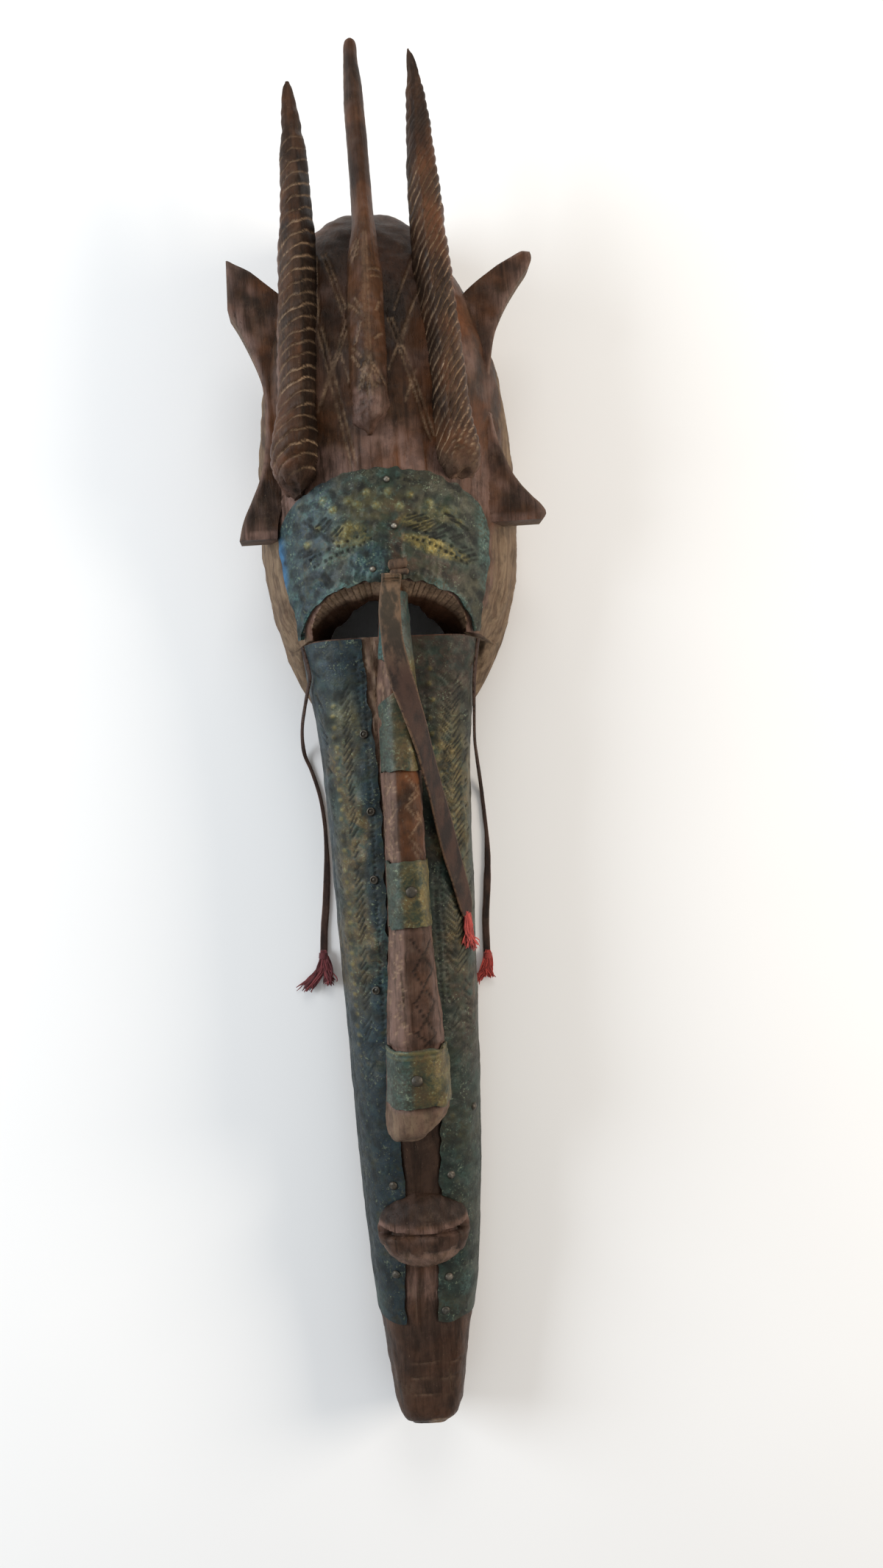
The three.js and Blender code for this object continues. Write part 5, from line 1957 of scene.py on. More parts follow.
@dataclass
class Tassel:
    """Loose cotton strands tied below the end of a strap."""

    node: str
    place: Triple
    radius: float
    heading: float
    tilt: float
    bunches: Sequence[Bunch]
    seed: int
    bend: float = 0.0
    neck: float = 1.9
    is_bound: bool = True
    flatness: float = 0.42
    lowest: float = 0.35

    def placed(self, points: Array) -> Array:
        """Turns points along the tassel into the mask's space.

        Args:
            points: Points, with the second value running down the tassel.

        Returns:
            The turned points.
        """
        x, y, z = points[:, 0], -points[:, 1], points[:, 2] * self.flatness
        c, s = math.cos(self.heading), math.sin(self.heading)
        x, y = x * c - y * s, x * s + y * c
        c, s = math.cos(self.tilt), math.sin(self.tilt)
        x, z = x * c + z * s, -x * s + z * c
        return np.stack([x, y, z], 1) + self.place

    def build(self) -> Thing:
        """Makes the strands and their binding, lays them in place and keeps them above the ground.

        Returns:
            The piece, still without its finish.
        """
        random = np.random.default_rng(self.seed)
        shapes = []
        share = np.linspace(0, 1, 15)[:, None]
        for bunch in self.bunches:
            for _ in range(bunch.count):
                turn, out = random.uniform(0, 2 * math.pi), random.uniform(0.1, 1) ** 0.5
                start = np.array([math.cos(turn) * self.neck * out, -random.uniform(0.6, 2.6),
                                  math.sin(turn) * 2.6 * out])
                reach = random.normal(0, bunch.spread)
                end = np.array([bunch.ends_at[0] + reach, bunch.ends_at[1] * random.uniform(0.8, 1.03),
                                math.sin(turn) * self.radius * 0.8 * out])
                waist = np.array([start[0] * 1.7 + self.bend, 8.5, start[2]])
                swing = np.array([random.normal(0, 1.7), 0, random.normal(0, 1.4)])
                curl = np.sin(share * random.uniform(5, 13) + random.uniform(0, 6))
                curl = curl * share * random.normal(0, 1.0)
                path = ((1 - share) ** 2 * start + 2 * share * (1 - share) * (waist + swing)
                        + share ** 2 * end + curl * [1, 0, 0.6])
                shapes.append(strand(path, random.uniform(0.3, 0.5), random.uniform(0, 1)))
        if self.is_bound:
            shapes.append(self.binding())
        shape = gathered(shapes)
        shape.points = self.placed(shape.points)
        z = shape.points[:, 2]
        shape.points[:, 2] = np.where(z < self.lowest, self.lowest - (self.lowest - z) * 0.12, z)
        return make_piece(self.node + "_strands", shape, sharp_degrees=80)

    def binding(self) -> Shape:
        """The thread wound five times around the neck.

        Returns:
            The body of the thread.
        """
        wound = np.linspace(0, 1, 90)
        angle = wound * 2 * math.pi * 5
        coil = [(0.6 + self.neck) * np.cos(angle), -0.6 + 3.6 * wound, 4.2 * np.sin(angle)]
        return strand(np.stack(coil, 1), 0.42, 0.35, 6)


@dataclass
class Tack:
    """One tack head on a sheet."""

    node: str
    place: Span
    section_at: SectionAt
    radius: float
    is_ring: bool
    # How strongly the rubbed spot and its painted highlight show.
    shine: float
    seed: int
    height: float = 2.0

    def build(self) -> Thing:
        """Makes the head, set flat on the sheet below it.

        Returns:
            The piece, still without its finish.
        """
        if self.is_ring:
            outline = [
                (0.02, 0), (1.0, 0), (1.0, 0.25), (0.9, 0.5), (0.74, 0.58), (0.6, 0.42), (0.48, 0.2),
                (0.3, 0.26), (0.12, 0.42), (0.02, 0.46),
            ]
        else:
            outline = [
                (0.02, 0), (1.0, 0), (1.0, 0.14), (0.93, 0.3), (0.75, 0.5), (0.5, 0.64), (0.25, 0.71),
                (0.02, 0.73),
            ]
        radius, height = (np.array(outline) * [self.radius, self.height]).T[..., None]
        turn = full_turn(40)
        grid = np.stack([radius * np.cos(turn), radius * np.sin(turn), height + 0 * turn], -1)
        shape = loft(grid, {})
        radial = np.hypot(shape.points[:, 0], shape.points[:, 1]) / self.radius
        bent = ripple(shape.points + [0, 0, 50], 3.5, self.seed)
        shape.points = shape.points * (1 + 0.03 * bent[:, None] * [1, 1, 0])
        shape.points[:, 2] += 0.1 * bent * ease(shape.points[:, 2], 0.2, 0.8)
        spots = np.array(self.place) + [[0, 0], [0.4, 0], [0, 0.4]]
        centre, right, up = on_body(self.section_at, spots, CLEARANCE + SHEET_THICKNESS)
        axis_x = unit(right - centre)
        axis_z = unit(np.cross(axis_x, up - centre))
        axis_y = np.cross(axis_z, axis_x)
        shape.points = shape.points @ np.stack([axis_x, axis_y, axis_z]) + centre + axis_z * 0.35
        # Painted highlight: the top of a domed head, or the raised part of a ring, is painted pale, both as
        # rubbed metal and as a highlight.
        rubbed = ease(radial, 0.55, 0.75) if self.is_ring else ease(radial, 1.0, 0.3)
        shape.values = {"rubbed": self.shine * rubbed}
        return make_piece(self.node + "_head", shape, sharp_degrees=50)


def linear(colour: Colour) -> tuple[float, float, float, float]:
    """A display colour, 0 to 255 for each channel, as the linear colour that shaders need."""
    return (*(((c / 255 + 0.055) / 1.055) ** 2.4 if c > 10 else c / 255 / 12.92 for c in colour), 1.0)


class Bench:
    """Short ways to add and join shader nodes in one tree."""

    def __init__(self, tree: bpy.types.NodeTree) -> None:
        """Keeps the tree that the nodes go into."""
        self.tree = tree

    def add(self, kind: str, inputs: Optional[dict] = None, **settings: object) -> Node:
        """Adds a node.

        Args:
            kind: The node's type without ShaderNode in front.
            inputs: A value or a socket to read for each of its inputs, by name or number.
            settings: The node's own settings.

        Returns:
            The new node.
        """
        node = self.tree.nodes.new("ShaderNode" + kind)
        for name, value in settings.items():
            setattr(node, name, value)
        self.feed(node, inputs or {})
        return node

    def feed(self, node: Node, inputs: dict) -> None:
        """Gives a node's inputs, by name or number, a value or a socket to read.

        Args:
            node: The node to set.
            inputs: What each of its inputs gets.
        """
        for name, value in inputs.items():
            if isinstance(value, Socket):
                self.tree.links.new(value, node.inputs[name])
            else:
                node.inputs[name].default_value = value

    def math(self, operation: str, a: object, b: object, is_clamped: bool = False) -> Socket:
        """Works one number out from two values or sockets."""
        return self.add("Math", {0: a, 1: b}, operation=operation, use_clamp=is_clamped).outputs[0]

    def times(self, a: object, b: object, is_clamped: bool = False) -> Socket:
        """Multiplies two values or sockets."""
        return self.math("MULTIPLY", a, b, is_clamped)

    def plus(self, a: object, b: object, is_clamped: bool = False) -> Socket:
        """Adds two values or sockets."""
        return self.math("ADD", a, b, is_clamped)

    def blend(self, share: object, a: object, b: object) -> Socket:
        """Mixes two colours, each a display colour or a socket."""
        a, b = (linear(colour) if isinstance(colour, tuple) else colour for colour in (a, b))
        return self.add("Mix", {0: share, 6: a, 7: b}, data_type="RGBA", clamp_factor=True).outputs[2]

    def band(self, value: object, low: float, high: float, top: float = 1.0) -> Socket:
        """Rises smoothly from 0 to top between two values."""
        inputs = {0: value, 1: low, 2: high, 3: 0.0, 4: top}
        return self.add("MapRange", inputs, interpolation_type="SMOOTHSTEP").outputs[0]

    def read(self, name: str) -> Socket:
        """A value stored on the mesh."""
        return self.add("Attribute", attribute_name=name).outputs["Fac"]

    def noise(self, place: object, scale: float, detail: float = 4.0, roughness: float = 0.55,
              distortion: float = 0.0) -> Socket:
        """Cloudy noise of 0 to 1 at a place.

        Args:
            place: Where to read it.
            scale: How fine it is.
            detail: How many finer layers it has.
            roughness: How strong the finer layers are.
            distortion: How much it is bent out of shape.

        Returns:
            The value to read.
        """
        inputs = {"Vector": place, "Scale": scale, "Detail": detail, "Roughness": roughness,
                  "Distortion": distortion}
        return self.add("TexNoise", inputs).outputs["Fac"]

    def place(self, stretch: Triple = (1, 1, 1)) -> Socket:
        """The object's own coordinates, scaled along each axis."""
        own = self.add("TexCoord").outputs["Object"]
        return self.add("Mapping", {"Vector": own, "Scale": stretch}).outputs[0]


def shared_group(name: str, inputs: dict[str, float], outputs: Sequence[str],
                 make: Callable[[Bench, Node], Sockets]) -> bpy.types.NodeTree:
    """Makes a node group once and hands it out after that.

    Args:
        name: The group's name.
        inputs: Name and default of each number that goes in.
        outputs: Name of each number that comes out.
        make: Fills the group and returns what comes out.

    Returns:
        The group.
    """
    group = bpy.data.node_groups.get(name)
    if group is None:
        group = bpy.data.node_groups.new(name, "ShaderNodeTree")
        for label, value in inputs.items():
            socket = group.interface.new_socket(label, in_out="INPUT", socket_type="NodeSocketFloat")
            socket.default_value = value
        for label in outputs:
            group.interface.new_socket(label, in_out="OUTPUT", socket_type="NodeSocketFloat")
        bench = Bench(group)
        made = make(bench, group.nodes.new("NodeGroupInput"))
        bench.feed(group.nodes.new("NodeGroupOutput"), dict(zip(outputs, made)))
    return group


def fill_grain(bench: Bench, enter: Node) -> Sockets:
    """Wood grain along the mask: long fibres, streaks, broad changes of tone and pores.

    Args:
        bench: Where its nodes are added.
        enter: The inputs of the group, of which it has none.

    Returns:
        Fibre, streak, tone and pore.
    """
    fibre = bench.noise(bench.place((1, 0.06, 1)), 900, 5, 0.6, 0.4)
    streak = bench.noise(bench.place((1, 0.1, 1)), 190, 4, 0.6, 0.8)
    tone = bench.noise(bench.place(), 26, 4, 0.6)
    pore = bench.band(bench.noise(bench.place((1, 0.12, 1)), 1500, 2, 0.5), 0.62, 0.72)
    return fibre, streak, tone, pore


def fill_wear(bench: Bench, enter: Node) -> Sockets:
    """Old surface: dust in patches, fine scratches and dark grime.

    Args:
        bench: Where its nodes are added.
        enter: The inputs of the group.

    Returns:
        Dust, scratches and grime.
    """
    cloud = bench.noise(bench.place(), 60, 6, 0.65)
    fine = bench.noise(bench.place(), 420, 5, 0.6)
    dust = bench.times(bench.band(cloud, 0.48, 0.72), bench.band(fine, 0.35, 0.65))
    dust = bench.times(dust, enter.outputs["Amount"])
    scratch = bench.band(bench.noise(bench.place((1, 0.25, 1)), 700, 3, 0.7, 2.5), 0.66, 0.72)
    grime = bench.band(bench.noise(bench.place(), 110, 5, 0.6), 0.55, 0.38)
    return dust, scratch, grime


def fill_blotches(bench: Bench, enter: Node) -> Sockets:
    """Patina in blotches of three sizes, for metal that has weathered unevenly.

    Args:
        bench: Where its nodes are added.
        enter: The inputs of the group, of which it has none.

    Returns:
        The wide, the middle and the fine blotches.
    """
    place = bench.place()
    wide = bench.noise(place, 38, 3, 0.55, 0.3)
    middle = bench.noise(place, 130, 5, 0.62, 0.5)
    fine = bench.noise(place, 620, 4, 0.6)
    return wide, middle, fine


def grain(bench: Bench) -> Sockets:
    """Adds the wood grain and returns its fibre, streak, tone and pore."""
    group = shared_group("Wood grain", {}, ("Fibre", "Streak", "Tone", "Pore"), fill_grain)
    return list(bench.add("Group", node_tree=group).outputs)


def wear(bench: Bench, amount: float = 1.0) -> Sockets:
    """Adds the old wear and returns its dust, by an amount, scratches and grime."""
    group = shared_group("Old wear", {"Amount": 1.0}, ("Dust", "Scratch", "Grime"), fill_wear)
    return list(bench.add("Group", {"Amount": amount}, node_tree=group).outputs)


def blotches(bench: Bench) -> Sockets:
    """Adds the patina blotches and returns the wide, the middle and the fine ones."""
    group = shared_group("Patina blotches", {}, ("Wide", "Middle", "Fine"), fill_blotches)
    return list(bench.add("Group", node_tree=group).outputs)


def new_material(name: str) -> tuple[Material, Bench, Node]:
    """An empty material with its main shader joined to its output.

    Args:
        name: Name of the material.

    Returns:
        The material, what adds its nodes, and its shader.
    """
    material = bpy.data.materials.new(name)
    material.use_nodes = True
    material.node_tree.nodes.clear()
    bench = Bench(material.node_tree)
    shader = bench.add("BsdfPrincipled")
    bench.add("OutputMaterial", {"Surface": shader.outputs[0]})
    return material, bench, shader


def bumped(bench: Bench, shader: Node, height: Socket, distance: float, strength: float) -> None:
    """Adds fine relief, with its depth in metres, to a material's main shader."""
    bump = bench.add("Bump", {"Height": height, "Distance": distance, "Strength": strength})
    bench.feed(shader, {"Normal": bump.outputs[0]})


@dataclass(frozen=True)
class WoodFinish:
    """Dark stained wood, worn pinkish in front and raw behind, with painted shade and painted light in a few
    places.
    """

    deep: Colour = (42, 29, 20)
    brown: Colour = (77, 54, 38)
    orange: Colour = (98, 58, 32)
    pinkish: Colour = (113, 88, 78)
    raw_wood: Colour = (128, 108, 86)
    dark_stain_and_shade: Colour = (24, 16, 11)
    raw_shade: Colour = (92, 72, 56)
    fresh: Colour = (166, 138, 110)
    dusty: Colour = (106, 88, 72)
    dark_fibre: Colour = (32, 22, 15)
    grime: Colour = (26, 18, 13)

    def build(self) -> Material:
        """Makes the material.

        Returns:
            The material.
        """
        material, bench, shader = new_material("Carved wood")
        fibre, streak, tone, pore = grain(bench)
        dust, scratch, grime = wear(bench, 0.8)
        mottled = bench.band(bench.plus(bench.times(streak, 0.6), bench.times(tone, 0.4)), 0.4, 0.6)
        warm = bench.times(bench.read("warm"), bench.band(tone, 0.3, 0.6), True)
        pink = bench.times(bench.read("pink"), bench.band(streak, 0.25, 0.6), True)
        raw = bench.times(bench.read("raw"), bench.band(fibre, 0.1, 0.45), True)
        raw_tone = bench.blend(bench.band(streak, 0.3, 0.7), self.raw_wood, self.raw_shade)
        uneven = bench.band(bench.noise(bench.place(), 500, 3), 0.2, 0.6)
        colour = bench.blend(mottled, self.deep, self.brown)
        for share, layer in (
            (warm, self.orange),
            (pink, self.pinkish),
            # The dark value is dark paint and stain, and also painted shade on the horns, the dome, the
            # face, the eyes and the hollow.
            (bench.times(bench.read("dark"), 0.9), self.dark_stain_and_shade),
            (raw, raw_tone),
            (bench.times(bench.read("carve"), uneven, True), self.fresh),
            (bench.times(bench.band(fibre, 0.5, 0.3), 0.35), self.dark_fibre),
            (bench.times(grime, 0.35), self.grime),
            (bench.times(dust, 0.3), self.dusty),
            (bench.times(scratch, 0.25), self.fresh),
        ):
            colour = bench.blend(share, colour, layer)
        rough = bench.plus(bench.times(bench.read("raw"), 0.22), bench.times(fibre, 0.28))
        bench.feed(shader, {"Base Color": colour, "Roughness": bench.plus(rough, 0.36),
                            "Specular IOR Level": 0.14})
        height = bench.plus(bench.times(fibre, 0.5), bench.times(streak, 0.6))
        bumped(bench, shader, bench.math("SUBTRACT", height, bench.times(pore, 0.5)), 0.0008, 0.6)
        return material


@dataclass(frozen=True)
class PatinaFinish:
    """Thin hammered brass with a blue-green patina and gold where it is rubbed."""

    olive: Colour = (58, 56, 38)
    green: Colour = (36, 50, 38)
    blue: Colour = (29, 49, 60)
    vivid: Colour = (40, 92, 128)
    gold: Colour = (130, 116, 66)
    brown: Colour = (70, 51, 37)
    verdigris: Colour = (66, 98, 92)
    shadow: Colour = (22, 27, 22)
    grime: Colour = (13, 14, 11)
    speck: Colour = (128, 138, 112)
    dusty: Colour = (120, 118, 100)

    def build(self) -> Material:
        """Makes the material.

        Returns:
            The material.
        """
        material, bench, shader = new_material("Patinated sheet")
        wide, middle, fine = blotches(bench)
        dust, _, grime = wear(bench)
        mottle = bench.band(bench.plus(bench.times(middle, 0.7), bench.times(fine, 0.3)), 0.45, 0.6)
        worn = bench.band(bench.plus(bench.times(middle, 0.6), bench.times(fine, 0.4)), 0.36, 0.62)
        gold = bench.math("MAXIMUM", bench.times(bench.read("gold"), worn, True),
                          bench.times(bench.read("rubbed"), 0.7))
        crust = bench.times(bench.read("verdigris"), bench.band(fine, 0.36, 0.58), True)
        speck = bench.times(bench.band(fine, 0.56, 0.64), bench.band(middle, 0.46, 0.6))
        dirt = bench.plus(bench.read("dirt"), bench.times(grime, 0.4), True)
        colour = bench.blend(bench.band(wide, 0.4, 0.6), self.olive, self.green)
        for share, layer in (
            (bench.times(bench.read("blue"), bench.band(middle, 0.28, 0.55), True), self.blue),
            (bench.times(mottle, 0.7), self.shadow),
            (bench.times(bench.read("brown"), bench.band(middle, 0.36, 0.6), True), self.brown),
            (gold, self.gold),
            (crust, self.verdigris),
            (bench.times(speck, 0.6), self.speck),
            (bench.read("vivid"), self.vivid),
            (bench.times(dirt, 0.88), self.grime),
            (bench.times(dust, 0.22), self.dusty),
        ):
            colour = bench.blend(share, colour, layer)
        shine = bench.plus(0.2, bench.times(gold, 0.45))
        rough = bench.plus(0.34, bench.times(fine, 0.3))
        bench.feed(shader, {
            "Base Color": colour,
            "Metallic": bench.math("SUBTRACT", shine, bench.times(crust, 0.3), True),
            "Roughness": bench.plus(rough, bench.times(dirt, 0.2), True),
            "Specular IOR Level": 0.35,
        })
        bumped(bench, shader, bench.plus(middle, bench.times(fine, 0.4)), 0.0009, 0.55)
        return material


@dataclass(frozen=True)
class TackFinish:
    """Tarnished tack heads, pale where they are rubbed and where a highlight is painted."""

    dull: Colour = (54, 52, 46)
    bright: Colour = (168, 162, 150)
    brown: Colour = (72, 62, 50)

    def build(self) -> Material:
        """Makes the material.

        Returns:
            The material.
        """
        material, bench, shader = new_material("Tarnished tack")
        _, middle, fine = blotches(bench)
        # rubbed holds rubbed metal and the painted highlight on each head.
        rubbed = bench.times(bench.read("rubbed"), bench.band(fine, 0.3, 0.6), True)
        colour = bench.blend(rubbed, self.dull, self.bright)
        colour = bench.blend(bench.band(middle, 0.62, 0.45, 0.5), colour, self.brown)
        bench.feed(shader, {"Base Color": colour, "Metallic": 0.6,
                            "Roughness": bench.plus(0.3, bench.times(fine, 0.3))})
        bumped(bench, shader, fine, 0.0004, 0.5)
        return material


@dataclass(frozen=True)
class LeatherFinish:
    """Old dark leather with pale, frayed edges."""

    name: str = "Strap leather"
    dark: Colour = (34, 24, 20)
    brown: Colour = (64, 45, 37)
    edge: Colour = (104, 80, 60)
    greened: float = 0.0
    start_dark: Colour = (62, 54, 42)
    start_pale: Colour = (120, 96, 74)
    dusty: Colour = (98, 80, 64)
    scratched: Colour = (116, 92, 76)

    def build(self) -> Material:
        """Makes the material.

        Returns:
            The material.
        """
        material, bench, shader = new_material(self.name)
        dust, scratch, _ = wear(bench)
        cloud = bench.noise(bench.place((1, 0.4, 1)), 150, 5, 0.6)
        colour = bench.blend(bench.band(cloud, 0.36, 0.64), self.dark, self.brown)
        if self.greened:
            start = bench.times(bench.band(bench.read("along"), 0.3, 0.08), self.greened)
            tone = bench.blend(bench.band(cloud, 0.42, 0.58), self.start_dark, self.start_pale)
            colour = bench.blend(start, colour, tone)
        fray = bench.band(bench.noise(bench.place(), 500, 3), 0.3, 0.55)
        for share, layer in (
            (bench.times(bench.read("edge"), fray, True), self.edge),
            (bench.times(dust, 0.3), self.dusty),
            (bench.times(scratch, 0.3), self.scratched),
        ):
            colour = bench.blend(share, colour, layer)
        bench.feed(shader, {"Base Color": colour, "Roughness": bench.plus(0.48, bench.times(cloud, 0.3)),
                            "Specular IOR Level": 0.22})
        bumped(bench, shader, bench.noise(bench.place(), 900, 5, 0.65), 0.0005, 0.6)
        return material


@dataclass(frozen=True)
class CottonFinish:
    """Coarse cotton thread in two tones."""

    name: str
    dark: Colour
    light: Colour

    def build(self) -> Material:
        """Makes the material.

        Returns:
            The material.
        """
        material, bench, shader = new_material(self.name)
        fuzz = bench.noise(bench.place(), 1400, 3, 0.6)
        share = bench.plus(bench.times(bench.read("tint"), 0.65), bench.times(fuzz, 0.4), True)
        bench.feed(shader, {"Base Color": bench.blend(share, self.dark, self.light), "Roughness": 0.95,
                            "Sheen Weight": 0.25})
        bumped(bench, shader, fuzz, 0.0004, 0.7)
        return material


@dataclass(frozen=True)
class FloorFinish:
    """A plain pale floor with a faint change of tone."""

    shaded: Colour = (243, 243, 243)
    plain: Colour = (250, 250, 249)

    def build(self) -> Material:
        """Makes the material.

        Returns:
            The material.
        """
        material, bench, shader = new_material("Studio floor")
        cloud = bench.noise(bench.place(), 3, 3, 0.5)
        bench.feed(shader, {"Base Color": bench.blend(cloud, self.shaded, self.plain), "Roughness": 0.9})
        return material


@dataclass
class Studio:
    """Camera, lights and floor."""

    lens: float = 26.0
    eye: Triple = (-27.507, -1.550, 731.934)
    lean_degrees: float = 4.5
    roll_degrees: float = 3.4
    sensor_height: float = 36.0
    floor_reach: float = 6.0
    lit_spot: Triple = (0, 0.02, 0.04)
    lights: Sequence[tuple[str, Triple, float, float, Triple]] = (
        ("Window", (-1.5, 0.35, 0.85), 0.9, 25.0, (0.88, 0.94, 1.0)),
        ("Lamp", (1.5, 0.2, 0.9), 0.8, 20.0, (1.0, 0.9, 0.78)),
        ("Above", (0.1, 1.6, 1.3), 0.9, 9.0, (1.0, 0.97, 0.93)),
    )
    sky_colour: tuple[float, float, float, float] = (0.98, 0.99, 1.0, 1.0)
    sky_strength: float = 0.4

    def aim(self) -> None:
        """Sets the camera where the photographer stood."""
        data = bpy.data.cameras.new("Camera")
        data.sensor_fit = "VERTICAL"
        data.sensor_height = self.sensor_height
        data.lens = self.lens
        data.clip_start, data.clip_end = 0.02, 50.0
        camera = bpy.data.objects.new("Camera", data)
        lean, roll = math.radians(self.lean_degrees), math.radians(self.roll_degrees)
        back = Vector((-math.sin(lean), 0, math.cos(lean)))
        side, up = Vector((math.cos(lean), 0, math.sin(lean))), Vector((0, 1, 0))
        right = side * math.cos(roll) - up * math.sin(roll)
        above = side * math.sin(roll) + up * math.cos(roll)
        turn = Matrix((right, above, back)).transposed().to_4x4()
        camera.matrix_world = Matrix.Translation(put_in_frame(self.eye).tolist()) @ turn
        bpy.context.scene.collection.objects.link(camera)
        bpy.context.scene.camera = camera

    def lay_floor(self) -> None:
        """Lays a wide pale floor below the mask."""
        reach = self.floor_reach
        corners = [(-reach, -reach, 0), (reach, -reach, 0), (reach, reach, 0), (-reach, reach, 0)]
        mesh = bpy.data.meshes.new("floor")
        mesh.from_pydata(corners, [], [(0, 1, 2, 3)])
        floor = bpy.data.objects.new("floor", mesh)
        floor.data.materials.append(FloorFinish().build())
        bpy.context.scene.collection.objects.link(floor)

    def light(self, name: str, place: Triple, size: float, power: float, colour: Triple) -> None:
        """Adds one soft square light that faces the mask.

        Args:
            name: Name of the light.
            place: Where it stands, in metres.
            size: Length of a side, in metres.
            power: Its power in watts.
            colour: Its colour, as shares of red, green and blue.
        """
        data = bpy.data.lights.new(name, "AREA")
        data.shape, data.size, data.energy, data.color = "SQUARE", size, power, colour
        lamp = bpy.data.objects.new(name, data)
        lamp.location = place
        to_mask = Vector(self.lit_spot) - Vector(place)
        lamp.rotation_euler = to_mask.to_track_quat("-Z", "Y").to_euler()
        bpy.context.scene.collection.objects.link(lamp)

    def build(self) -> None:
        """Sets up everything that isn't the mask."""
        bpy.context.scene.view_settings.view_transform = "Standard"
        self.aim()
        self.lay_floor()
        world = bpy.data.worlds.new("Studio")
        bpy.context.scene.world = world
        world.use_nodes = True
        background = world.node_tree.nodes["Background"]
        background.inputs["Color"].default_value = self.sky_colour
        background.inputs["Strength"].default_value = self.sky_strength
        for light in self.lights:
            self.light(*light)


LEFT_STRAP = Strap("left_strap", 4.5, 1.6, [
    [-52.2, 84.3, 55.5, -58], [-50.2, 75, 58, -54], [-48.7, 66, 59.5, -50], [-50.8, 58.5, 50, -64],
    [-53.6, 49, 38, -66], [-56.2, 39.8, 22, -60], [-57.2, 30, 8.6, -36], [-56.4, 21.5, 2.6, -8],
    [-53.1, 12.4, 1.2, 0], [-48.8, -3.5, 1.2, 0], [-46.8, -19.3, 1.2, 0], [-46.4, -35.4, 1.2, 0],
    [-46.8, -50.9, 1.2, 0], [-48.8, -74.4, 1.2, 0], [-50.8, -89.9, 1.2, 0], [-52, -105, 1.4, 0],
], Lay.EDGEWISE, 401)
RIGHT_STRAP = Strap("right_strap", 4.5, 1.6, [
    [52.9, 84.3, 55.5, 58], [50.8, 74, 58, 54], [48.8, 60, 58.6, 50], [48.6, 51, 54.5, 58],
    [48.9, 44, 49, 66], [49.2, 36, 42, 68], [50.1, 24.2, 30, 64], [52.3, 13.9, 16.5, 50],
    [54.4, 3, 6, 24], [55.9, -9.8, 1.6, 4], [56.9, -25.6, 1.2, 0], [57.4, -35.2, 1.2, 0],
    [57.2, -49.6, 1.2, 0], [55.3, -73.4, 1.2, 0], [53.6, -89.5, 1.2, 0], [53, -112.4, 1.4, 0],
], Lay.EDGEWISE, 402)
NOSE_STRAP = Strap("nose_strap", 12.0, 1.8, [
    [2, 117, 102.6, 0], [2, 108, 102.6, 0], [2, 92, 103.2, 0], [2.4, 76, 103.8, 0], [3.8, 62, 103.6, 4],
    [6, 52, 102.8, 12], [8.8, 41, 100.8, 26], [11.9, 29, 97.2, 40], [15, 16, 92, 48], [18.2, 2, 86.2, 48],
    [21.4, -12, 80.6, 44], [24.6, -27, 75.6, 40], [28, -43, 71.2, 38], [31.8, -58, 66.9, 42],
    [34.8, -71, 62.6, 46], [36, -79.5, 61, 48],
], Lay.FLAT, 403)
LEFT_TASSEL = Tassel("left_tassel", (-52.2, -105.5, 4.2), 9, -0.12, 0.0,
                     (Bunch(38, (-10.5, 24), 2.4), Bunch(74, (4.8, 19.5), 1.7)), 411, 2.6)
RIGHT_TASSEL = Tassel("right_tassel", (53.2, -112.8, 3.4), 6.5, -0.2, 0.0,
                      (Bunch(44, (-4.5, 20), 1.4), Bunch(44, (3.0, 15), 1.5)), 412, 1.2)
NOSE_TASSEL = Tassel("nose_tassel", (36.3, -80, 60.8), 5.6, 0.04, 0.84,
                     (Bunch(36, (-2.6, 19), 2.2), Bunch(36, (3.0, 22), 2.2)), 413, 0.0, 3.3, False)
BROW_TACKS = [[1.6, 170.4], [4.2, 144.2], [-8.9, 120.5]]
CHEEK_TACKS = [
    [-19, 30], [-17.4, -15], [-18, -55], [-20.4, -120], [-17.2, -237.6], [17.2, -233.5], [12.7, -295.3],
    [-18.6, -292], [9.5, -315.7], [33.5, -196.7],
]
RING_TACKS = (1, 2, 3, 4)
PALE_TACKS = (6, 7)
NOSE_TACKS = [[1.9, -61], [-1.1, -167]]


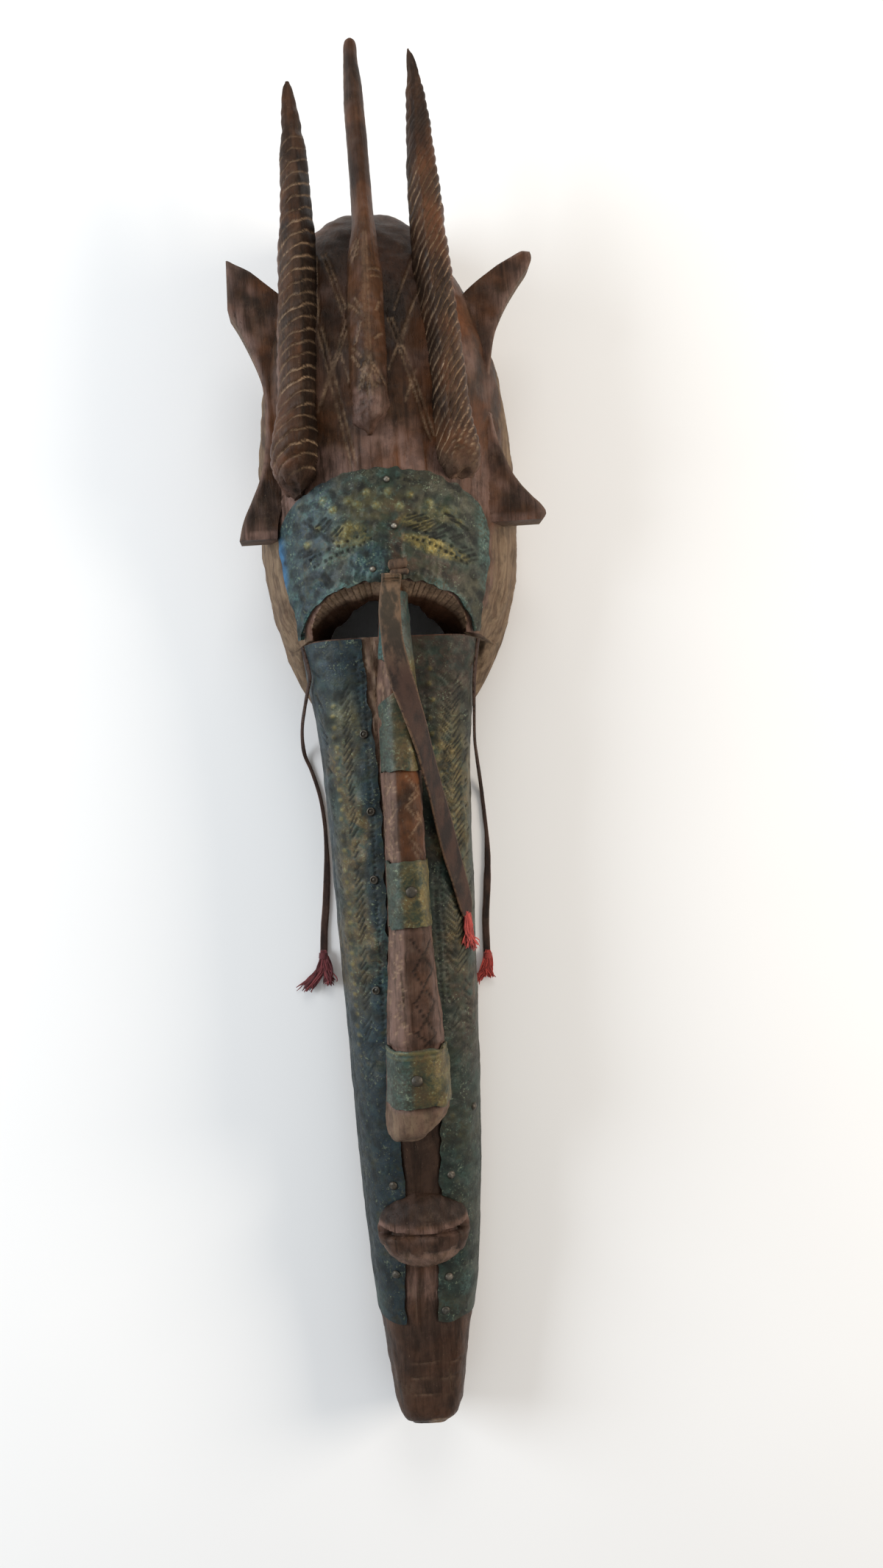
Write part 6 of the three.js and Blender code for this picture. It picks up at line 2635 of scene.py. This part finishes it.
@dataclass
class Metalwork:
    """All sheets and tacks on the mask."""

    def sheets(self) -> list[BrowSheet | CheekSheet | NoseSheet]:
        """The six sheets.

        Returns:
            The sheets, still to be built.
        """
        return [
            BrowSheet(),
            CheekSheet("left_cheek_sheet", -1, LEFT_INNER_EDGE, 331),
            CheekSheet("right_cheek_sheet", 1, RIGHT_INNER_EDGE, 341),
            NoseSheet("nose_bridge_sheet", 108, 7, 84, 501, 0.5),
            NoseSheet("nose_middle_band", -44, -81.5, 82, 502, 0.7),
            NoseSheet("nose_tip_band", -150.5, -183, 76, 503, 0.5, True),
        ]

    def tacks(self) -> list[Tack]:
        """The tack heads on the brow, the cheeks and the nose.

        Returns:
            The tacks, still to be built.
        """
        tacks = []
        for name, places, section_at, radius, shine in (
            ("brow_tack", BROW_TACKS, DOME.section, 1.9, 1.0),
            ("cheek_tack", CHEEK_TACKS, FACE.section, 2.5, 0.2),
            ("nose_tack", NOSE_TACKS, NOSE.section, 3.2, 0.12),
        ):
            for index, place in enumerate(places, 1):
                is_ring = places is CHEEK_TACKS and index in RING_TACKS
                is_pale = places is CHEEK_TACKS and index in PALE_TACKS
                tacks.append(Tack(f"{name}_{index}", tuple(place), section_at, radius, is_ring,
                                  0.6 if is_pale else shine, 520 + index))
        return tacks

    def build(self) -> list[Thing]:
        """Makes, finishes and declares each sheet and each tack.

        Returns:
            The pieces, in the order in which they are made.
        """
        pieces = []
        for parts, finish, slot in (
            (self.sheets(), PatinaFinish(), "sheet_metal"),
            (self.tacks(), TackFinish(), "tack_metal"),
        ):
            material = finish.build()
            pieces += [declare_piece(part.build(), part.node, material, slot) for part in parts]
        return pieces


@dataclass
class Leatherwork:
    """The straps with their tassels."""

    def build(self) -> list[Thing]:
        """Makes, finishes and declares each strap and what is tied to it.

        Returns:
            The pieces, in the order in which they are made.
        """
        pieces = []
        side_leather = LeatherFinish(edge=(112, 88, 76)).build()
        nose_leather = LeatherFinish("Nose strap leather", greened=0.8).build()
        red = CottonFinish("Red cotton", (84, 18, 18), (200, 78, 68)).build(), "red_cotton"
        maroon = CottonFinish("Maroon cotton", (48, 18, 24), (132, 60, 62)).build(), "maroon_cotton"
        for strap, tassel, leather, cotton in (
            (LEFT_STRAP, LEFT_TASSEL, side_leather, maroon),
            (RIGHT_STRAP, RIGHT_TASSEL, side_leather, red),
            (NOSE_STRAP, NOSE_TASSEL, nose_leather, red),
        ):
            bunch = tassel.build()
            declare_piece(bunch, tassel.node, *cotton)
            bands = [strap.build()]
            if strap.lay is Lay.FLAT:
                bands.append(strap.rolled_end())
            for band in bands:
                declare_piece(band, strap.node, leather, "strap_leather")
            strap.declare(bands[0], [bunch, *bands[1:]])
            pieces += [*bands, bunch]
        return pieces


def main() -> None:
    """Builds the whole scene."""
    logging.basicConfig(level=logging.INFO, format="%(message)s")
    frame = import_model()
    LOG.info("the frame has %d nodes", len(frame["nodes"]))
    Studio().build()
    pieces = Leatherwork().build()
    mask = CarvedMask()
    wood = mask.build()
    mask.dress(wood, WoodFinish())
    pieces += [wood, *Metalwork().build()]
    for piece in pieces:
        LOG.info("%s has %d faces", piece.name, len(piece.data.polygons))


if __name__ == "__main__":
    main()
